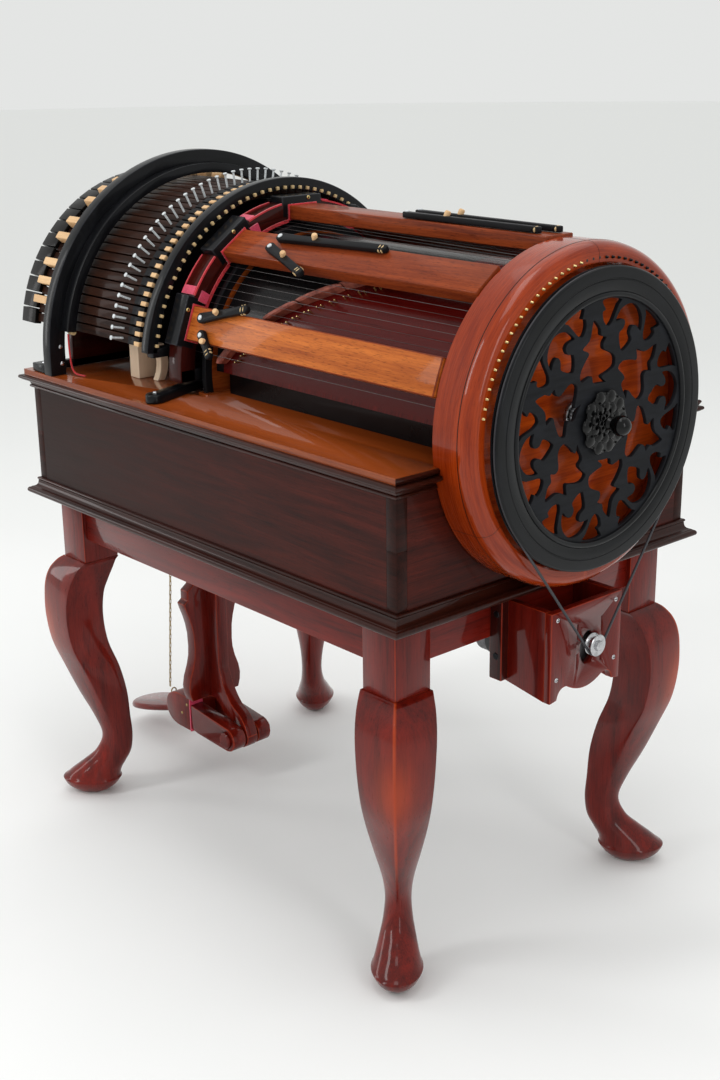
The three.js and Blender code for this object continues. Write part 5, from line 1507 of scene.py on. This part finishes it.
def build_motor_box():
    """Two side boards and a back, bolted up to cleats, and a slotted front with an arched lower edge."""
    half, wall = 70, 11
    front, rear = BOX_HIGH.x, BOX_HIGH.x - 87
    top, bottom = 519, BOX_LOW.z
    joint = front - wall - 0.05
    shape = Shape()
    sides = [(rear, top), (rear, bottom + 12), (rear + 26, bottom + 8), (joint, bottom), (joint, top)]
    for side in (-1, 1):
        y = mirrored(side, half, half - wall)
        shape.add(prism(sides, on_xz, y), along_z, bevel=0.8, edge=1)
        y = mirrored(side, half + 0.05, half + 14)
        shape.add(block((APRON_WHEEL_FACE + GAP, APRON_WHEEL_FACE + 22), y, (bottom + 14, BOX_HIGH.z)), along_z,
                  material=2, bevel=1.2, edge=1)
    shape.add(block((rear, rear + wall), (-half + wall + 0.05, half - wall - 0.05), (APRON_LOW.z - 4, top)),
              along_y, bevel=0.6)
    piece("motor_box", shape, [MAHOGANY, MAHOGANY_EDGE_HIGHLIGHT, MAHOGANY_DARK], replaces=["motor_box"],
          smooth=30)

    outline = [(-half, top), (-half, bottom), (-half + 14, bottom + 2)]
    outline += curve(outline[-1], (-half + 18, bottom + 20), (-half + 34, bottom + 17))
    outline += curve(outline[-1], (0, bottom - 6), (half - 34, bottom + 17), steps=14)
    outline += curve(outline[-1], (half - 18, bottom + 20), (half - 14, bottom + 2))
    outline += [(half, bottom), (half, top)]
    panel = Shape().add(prism(outline, on_yz, (front - wall, front)), along_z, bevel=1.2, edge=1)
    cut = Shape()
    oval = [(PULLEY.y - 3 + 16 * math.cos(t), PULLEY.z - 6 + 24 * math.sin(t))
            for t in turns(32)]
    cut.add(prism(oval, on_yz, (front - wall - 2, front + 2)))
    for y in (-24, 24):
        for z in (-32, 10):
            cut.add(block((front - wall - 2, front + 2), (PULLEY.y + y - 1.6, PULLEY.y + y + 1.6),
                          (PULLEY.z + z, PULLEY.z + z + 22)))
    piece("motor_box_front", panel, [MAHOGANY, MAHOGANY_EDGE_HIGHLIGHT], smooth=30, cutters=[cut])

    screws, bolts = Shape(), Shape()
    for y, z in ((-58, 508), (-58, 424), (58, 508), (58, 424)):
        screws.add(ball((front - 0.2, y, z), 3.4, 16, (1, 0, 0), 0.45, 0))
        screws.add(block((front + 0.9, front + 1.7), (y - 2.2, y + 2.2), (z - 0.35, z + 0.35)), material=1)
    for side in (-1, 1):
        for z in (500, 440):
            bolts.add(turned([(0, 0), (5.5, 0), (5.5, 3), (4.6, 4), (0, 4)], 6,
                             (APRON_WHEEL_FACE + 12, side * (half + 11), z), (0, side, 0)))
    piece("box_screws", screws, [STEEL, DARK_METAL], smooth=45)
    piece("cleat_bolts", bolts, [DARK_METAL])


APRON_WHEEL_FACE = span("apron_wheel_end")[1].x


def build_motor():
    low = span("motor")[0]
    y, z = PULLEY.y, 427
    drum_end = 451
    shape = Shape().add(turned([(0, low.x), (26, low.x), (30, low.x + 4), (30, drum_end - 3), (27, drum_end),
                                (0, drum_end)], 48, (0, y, z)))
    shape.add(turned([(29, 326), (32, 326.5), (32, 341.5), (29, 342)], 48, (0, y, z), closed=True),
              material=1)
    for i in range(18):
        turn = 2 * math.pi * i / 18
        centre = Vector((0, y + 30 * math.cos(turn), z + 30 * math.sin(turn)))
        shape.add(block((350, 395), (centre.y - 1, centre.y + 1), (centre.z - 1, centre.z + 1)), bevel=0.3)
    shape.add(block((415, BOX_HIGH.x - 14), (y - 24, y + 24), (z - 24, PULLEY.z + 20)), bevel=3, rounds=3)
    shape.add(block((305, 395), (y - 22, y + 22), (z + 20, APRON_LOW.z - 4.5)), bevel=1.5, material=1)
    piece("motor", shape, [MOTOR_METAL, BLACK_RUBBER], replaces=["motor"], smooth=35)

    pulley = Shape()
    stub = BOX_HIGH.x - 13
    middle = PULLEY.x
    pulley.add(turned([(0, stub), (4, stub), (4, middle - 6), (14, middle - 6), (15, middle - 5.2),
                       (15, middle - 4.6), (11, middle - 2), (11, middle + 2), (15, middle + 4.6),
                       (15, middle + 5.2), (14, middle + 6), (5, middle + 6), (0, middle + 6)], 40,
                      (0, PULLEY.y, PULLEY.z)))
    pulley.add(turned([(0, middle + 5.8), (7.5, middle + 5.8), (7.5, middle + 9.4), (0, middle + 9.4)], 6,
                      (0, PULLEY.y, PULLEY.z)), bevel=0.5)
    pulley.add(turned([(0, middle + 9), (3, middle + 9), (2.6, middle + 10), (0, middle + 10)], 12,
                      (0, PULLEY.y, PULLEY.z)))
    piece("motor_pulley", pulley, [STEEL], body="pulley", replaces=["motor_pulley"], smooth=35)


def build_belt():
    """A round belt in the flywheel's groove and round the pulley."""
    low, high = span("drive_belt")
    radius = (high.x - low.x) / 2
    big = high.y - radius
    small = 11 + radius + 0.8
    down = Vector((PULLEY.y, PULLEY.z - AXIS_Z))
    lean = math.atan2(down.y, down.x)
    wrap = math.acos((big - small) / down.length)
    points = []
    for i in range(97):
        turn = lean + wrap + i / 96 * (2 * math.pi - 2 * wrap)
        points.append((PULLEY.x, big * math.cos(turn), AXIS_Z + big * math.sin(turn)))
    for i in range(13):
        turn = lean - wrap + i / 12 * 2 * wrap
        points.append((PULLEY.x, PULLEY.y + small * math.cos(turn), PULLEY.z + small * math.sin(turn)))
    piece("drive_belt", Shape().add(tube(points, radius, 10, closed=True)), [BELT], replaces=["drive_belt"],
          smooth=60)


# ------------------------------------------------------------------ pedal

PEDAL_HALF = 40
PEG_R = 14
BLOCK_X = (-430, -356)
POST_X = -343
# Half width of the post's crossed blades at each height.
POST_FIN = [
    (124, 50), (138, 54), (152, 55), (168, 52), (187, 45), (204, 41), (220, 40), (245, 41), (262, 44),
    (280, 49), (296, 55), (306, 58), (312, 50), (328, 50), (345, 27), (530.7, 26),
]
PLATE_ROOT_Z = 71
PLATE_THICKNESS = 13
PLATE_SLOPE = 14


def build_pedal_post():
    blade = 11
    left = [(POST_X - half, z) for z, half in POST_FIN]
    right = [(POST_X + min(half, 38), z) for z, half in POST_FIN if z >= 187][::-1]
    outline = left + right
    outline += curve(right[-1], (POST_X + 48, 145), (PEDAL.x - 16, 122))
    outline += curve(outline[-1], (PEDAL.x + 14, 112), (PEDAL.x + 21, PEDAL.z + 4))
    outline += arc((PEDAL.x, PEDAL.z), 22, 8, -126, 18)
    outline += curve(outline[-1], (PEDAL.x - 38, 104), (POST_X + 24, 124))
    shape = Shape().add(prism(outline, on_xz, (PEDAL.y - blade, PEDAL.y + blade)), along_z, bevel=1.6, edge=1)
    cross = [(PEDAL.y - half, z) for z, half in POST_FIN] + [(PEDAL.y + half, z) for z,
                                                             half in POST_FIN][::-1]
    shape.add(prism(cross, on_yz, (POST_X - blade, POST_X + blade)), along_z, bevel=1.6, edge=1)
    bore = Shape().add(turned([(0, -30), (PEG_R + GAP, -30), (PEG_R + GAP, 30), (0, 30)], 40, PEDAL,
                              (0, 1, 0)))
    piece("pedal_post", shape, [MAHOGANY, MAHOGANY_EDGE_HIGHLIGHT], replaces=["pedal_post"],
          smooth=30, cutters=[bore])


def build_pedal_lever():
    outer = PEDAL_HALF
    arm = [(BLOCK_X[1] - 1, 62), (BLOCK_X[1] + 20, 58)]
    arm += [(PEDAL.x - 10, 55), *arc((PEDAL.x, PEDAL.z), 21, -90, 90, 18), (BLOCK_X[1] - 1, 107)]
    shape = Shape()
    for side in (-1, 1):
        y = sorted((PEDAL.y + side * outer, PEDAL.y + side * (outer - 26)))
        shape.add(prism(arm, on_xz, y), along_x, bevel=1.4, edge=1)
    outline = [(BLOCK_X[1], 56), (BLOCK_X[1], 118), (BLOCK_X[0] + 30, 118)]
    outline += curve(outline[-1], (BLOCK_X[0] - 2, 112), (BLOCK_X[0], 84))
    outline += curve(outline[-1], (BLOCK_X[0] + 4, 58), (BLOCK_X[0] + 36, 56))
    shape.add(prism(outline, on_xz, (PEDAL.y - outer, PEDAL.y + outer)), along_z, bevel=1.4, edge=1)
    bore = Shape().add(turned([(0, -60), (PEG_R + GAP, -60), (PEG_R + GAP, 60), (0, 60)], 40, PEDAL,
                              (0, 1, 0)))
    piece("pedal_lever", shape, [MAHOGANY, MAHOGANY_EDGE_HIGHLIGHT], body="pedal", replaces=["pedal_lever"],
          smooth=30, cutters=[bore])

    felt_strip = Shape()
    face = PEDAL.y - outer
    felt_strip.add(block((BLOCK_X[1] - 1.4, BLOCK_X[1] + 1.4), (face - 1, face + 26.5), (56, 119)), along_z,
                   bevel=0.5)
    piece("pedal_felt", felt_strip, [PINK_FELT], body="pedal")
    brads = Shape()
    for x, z in ((BLOCK_X[1] - 26, 84), (BLOCK_X[1] - 10, 104)):
        brads.add(ball((x, face, z), 2.6, 14, (0, -1, 0), 0.5, 0))
    eye_centre = Vector((BLOCK_X[0] + 3, CHAIN_Y, 108))
    loop = [eye_centre + Vector((0, 5 * math.cos(t), 5 * math.sin(t)))
            for t in turns(20)]
    brads.add(tube(loop, 1.2, 8, closed=True))
    piece("pedal_brads", brads, [OLD_BRASS], body="pedal", smooth=50)


def build_plate():
    """The leaf-shaped foot plate, sloping down to its toe, with well rounded edges."""
    tip = span("pedal_plate")[0].x + 1.6
    root = BLOCK_X[0] + 2
    slope = math.radians(PLATE_SLOPE)

    def place(u, v, w):
        run = u - BLOCK_X[0]
        return Vector((BLOCK_X[0] + run * math.cos(slope) + w * math.sin(slope), PEDAL.y + v,
                       PLATE_ROOT_Z + run * math.sin(slope) + w * math.cos(slope)))

    outline = [(root, -26), (root, 26), (BLOCK_X[0] - 18, 28)]
    outline += curve(outline[-1], (tip + 85, 44), (tip, 50), (tip, 0), steps=16)
    outline += curve((tip, 0), (tip, -50), (tip + 85, -44), (BLOCK_X[0] - 18, -28), steps=16)
    shape = Shape().add(prism(outline, place, (-PLATE_THICKNESS / 2, PLATE_THICKNESS / 2)), along_x,
                        bevel=4.5, rounds=4)
    piece("pedal_plate", shape, [MAHOGANY], body="pedal", replaces=["pedal_plate"],
          smooth=40)


def build_peg():
    low, high = span("pedal_pin")
    length = high.y - low.y
    profile = [(0, 0), (PEG_R - 2, 0), (PEG_R, 2), (PEG_R, length - 2), (PEG_R - 2, length), (0, length)]
    piece("pedal_pin", Shape().add(turned(profile, 40, (PEDAL.x, low.y, PEDAL.z), (0, 1, 0)), along_y),
          [MAHOGANY], replaces=["pedal_pin"], smooth=40)


CHAIN_Y = -45
CHAIN_BOTTOM = Vector((-438, CHAIN_Y, 112))
CHAIN_TOP = Vector((-396, CHAIN_Y, 585))
LINK_LENGTH = 11.5
LINK_PITCH = 8.6
LINK_WIDTH = 4.6
LINK_WIRE = 0.75


def build_chain():
    """Oval links, each turned a quarter from the one before."""
    along = (CHAIN_TOP - CHAIN_BOTTOM).normalized()
    count = int((CHAIN_TOP - CHAIN_BOTTOM).length / LINK_PITCH)
    flat = Vector((0, 1, 0))
    deep = along.cross(flat)
    shape = Shape()
    for i in range(count):
        centre = CHAIN_BOTTOM + along * (LINK_PITCH * (i + 0.6))
        across = flat if i % 2 else deep
        loop = []
        for k in range(16):
            turn = 2 * math.pi * k / 16
            straight = (LINK_LENGTH - LINK_WIDTH) / 2 * (1 if math.cos(turn) > 0 else -1)
            reach = straight + (LINK_WIDTH / 2 - LINK_WIRE) * math.cos(turn)
            loop.append(centre + along * reach + across * (LINK_WIDTH / 2 - LINK_WIRE) * math.sin(turn))
        shape.add(tube(loop, LINK_WIRE, 6, closed=True))
    piece("pedal_chain", shape, [OLD_BRASS], body="chain", replaces=["pedal_chain"], smooth=60)


# ------------------------------------------------------------------ everything

build_camera()
build_studio()
build_red_cord()
build_stand()
build_case()
build_mouldings()
build_deck()
build_hoop()
build_hoop_board()
build_tuning_pins()
build_beams()
build_soundboard()
build_bridge()
build_bridge_pins()
build_strings()
build_flywheel()
build_rosette()
build_knob()
build_shaft()
build_key_end_frame()
build_guide_arch()
build_key_arch()
build_maple_blocks()
build_keys()
build_stop_levers()
build_deck_lever()
build_motor_box()
build_motor()
build_belt()
build_pedal_post()
build_pedal_lever()
build_plate()
build_peg()
build_chain()
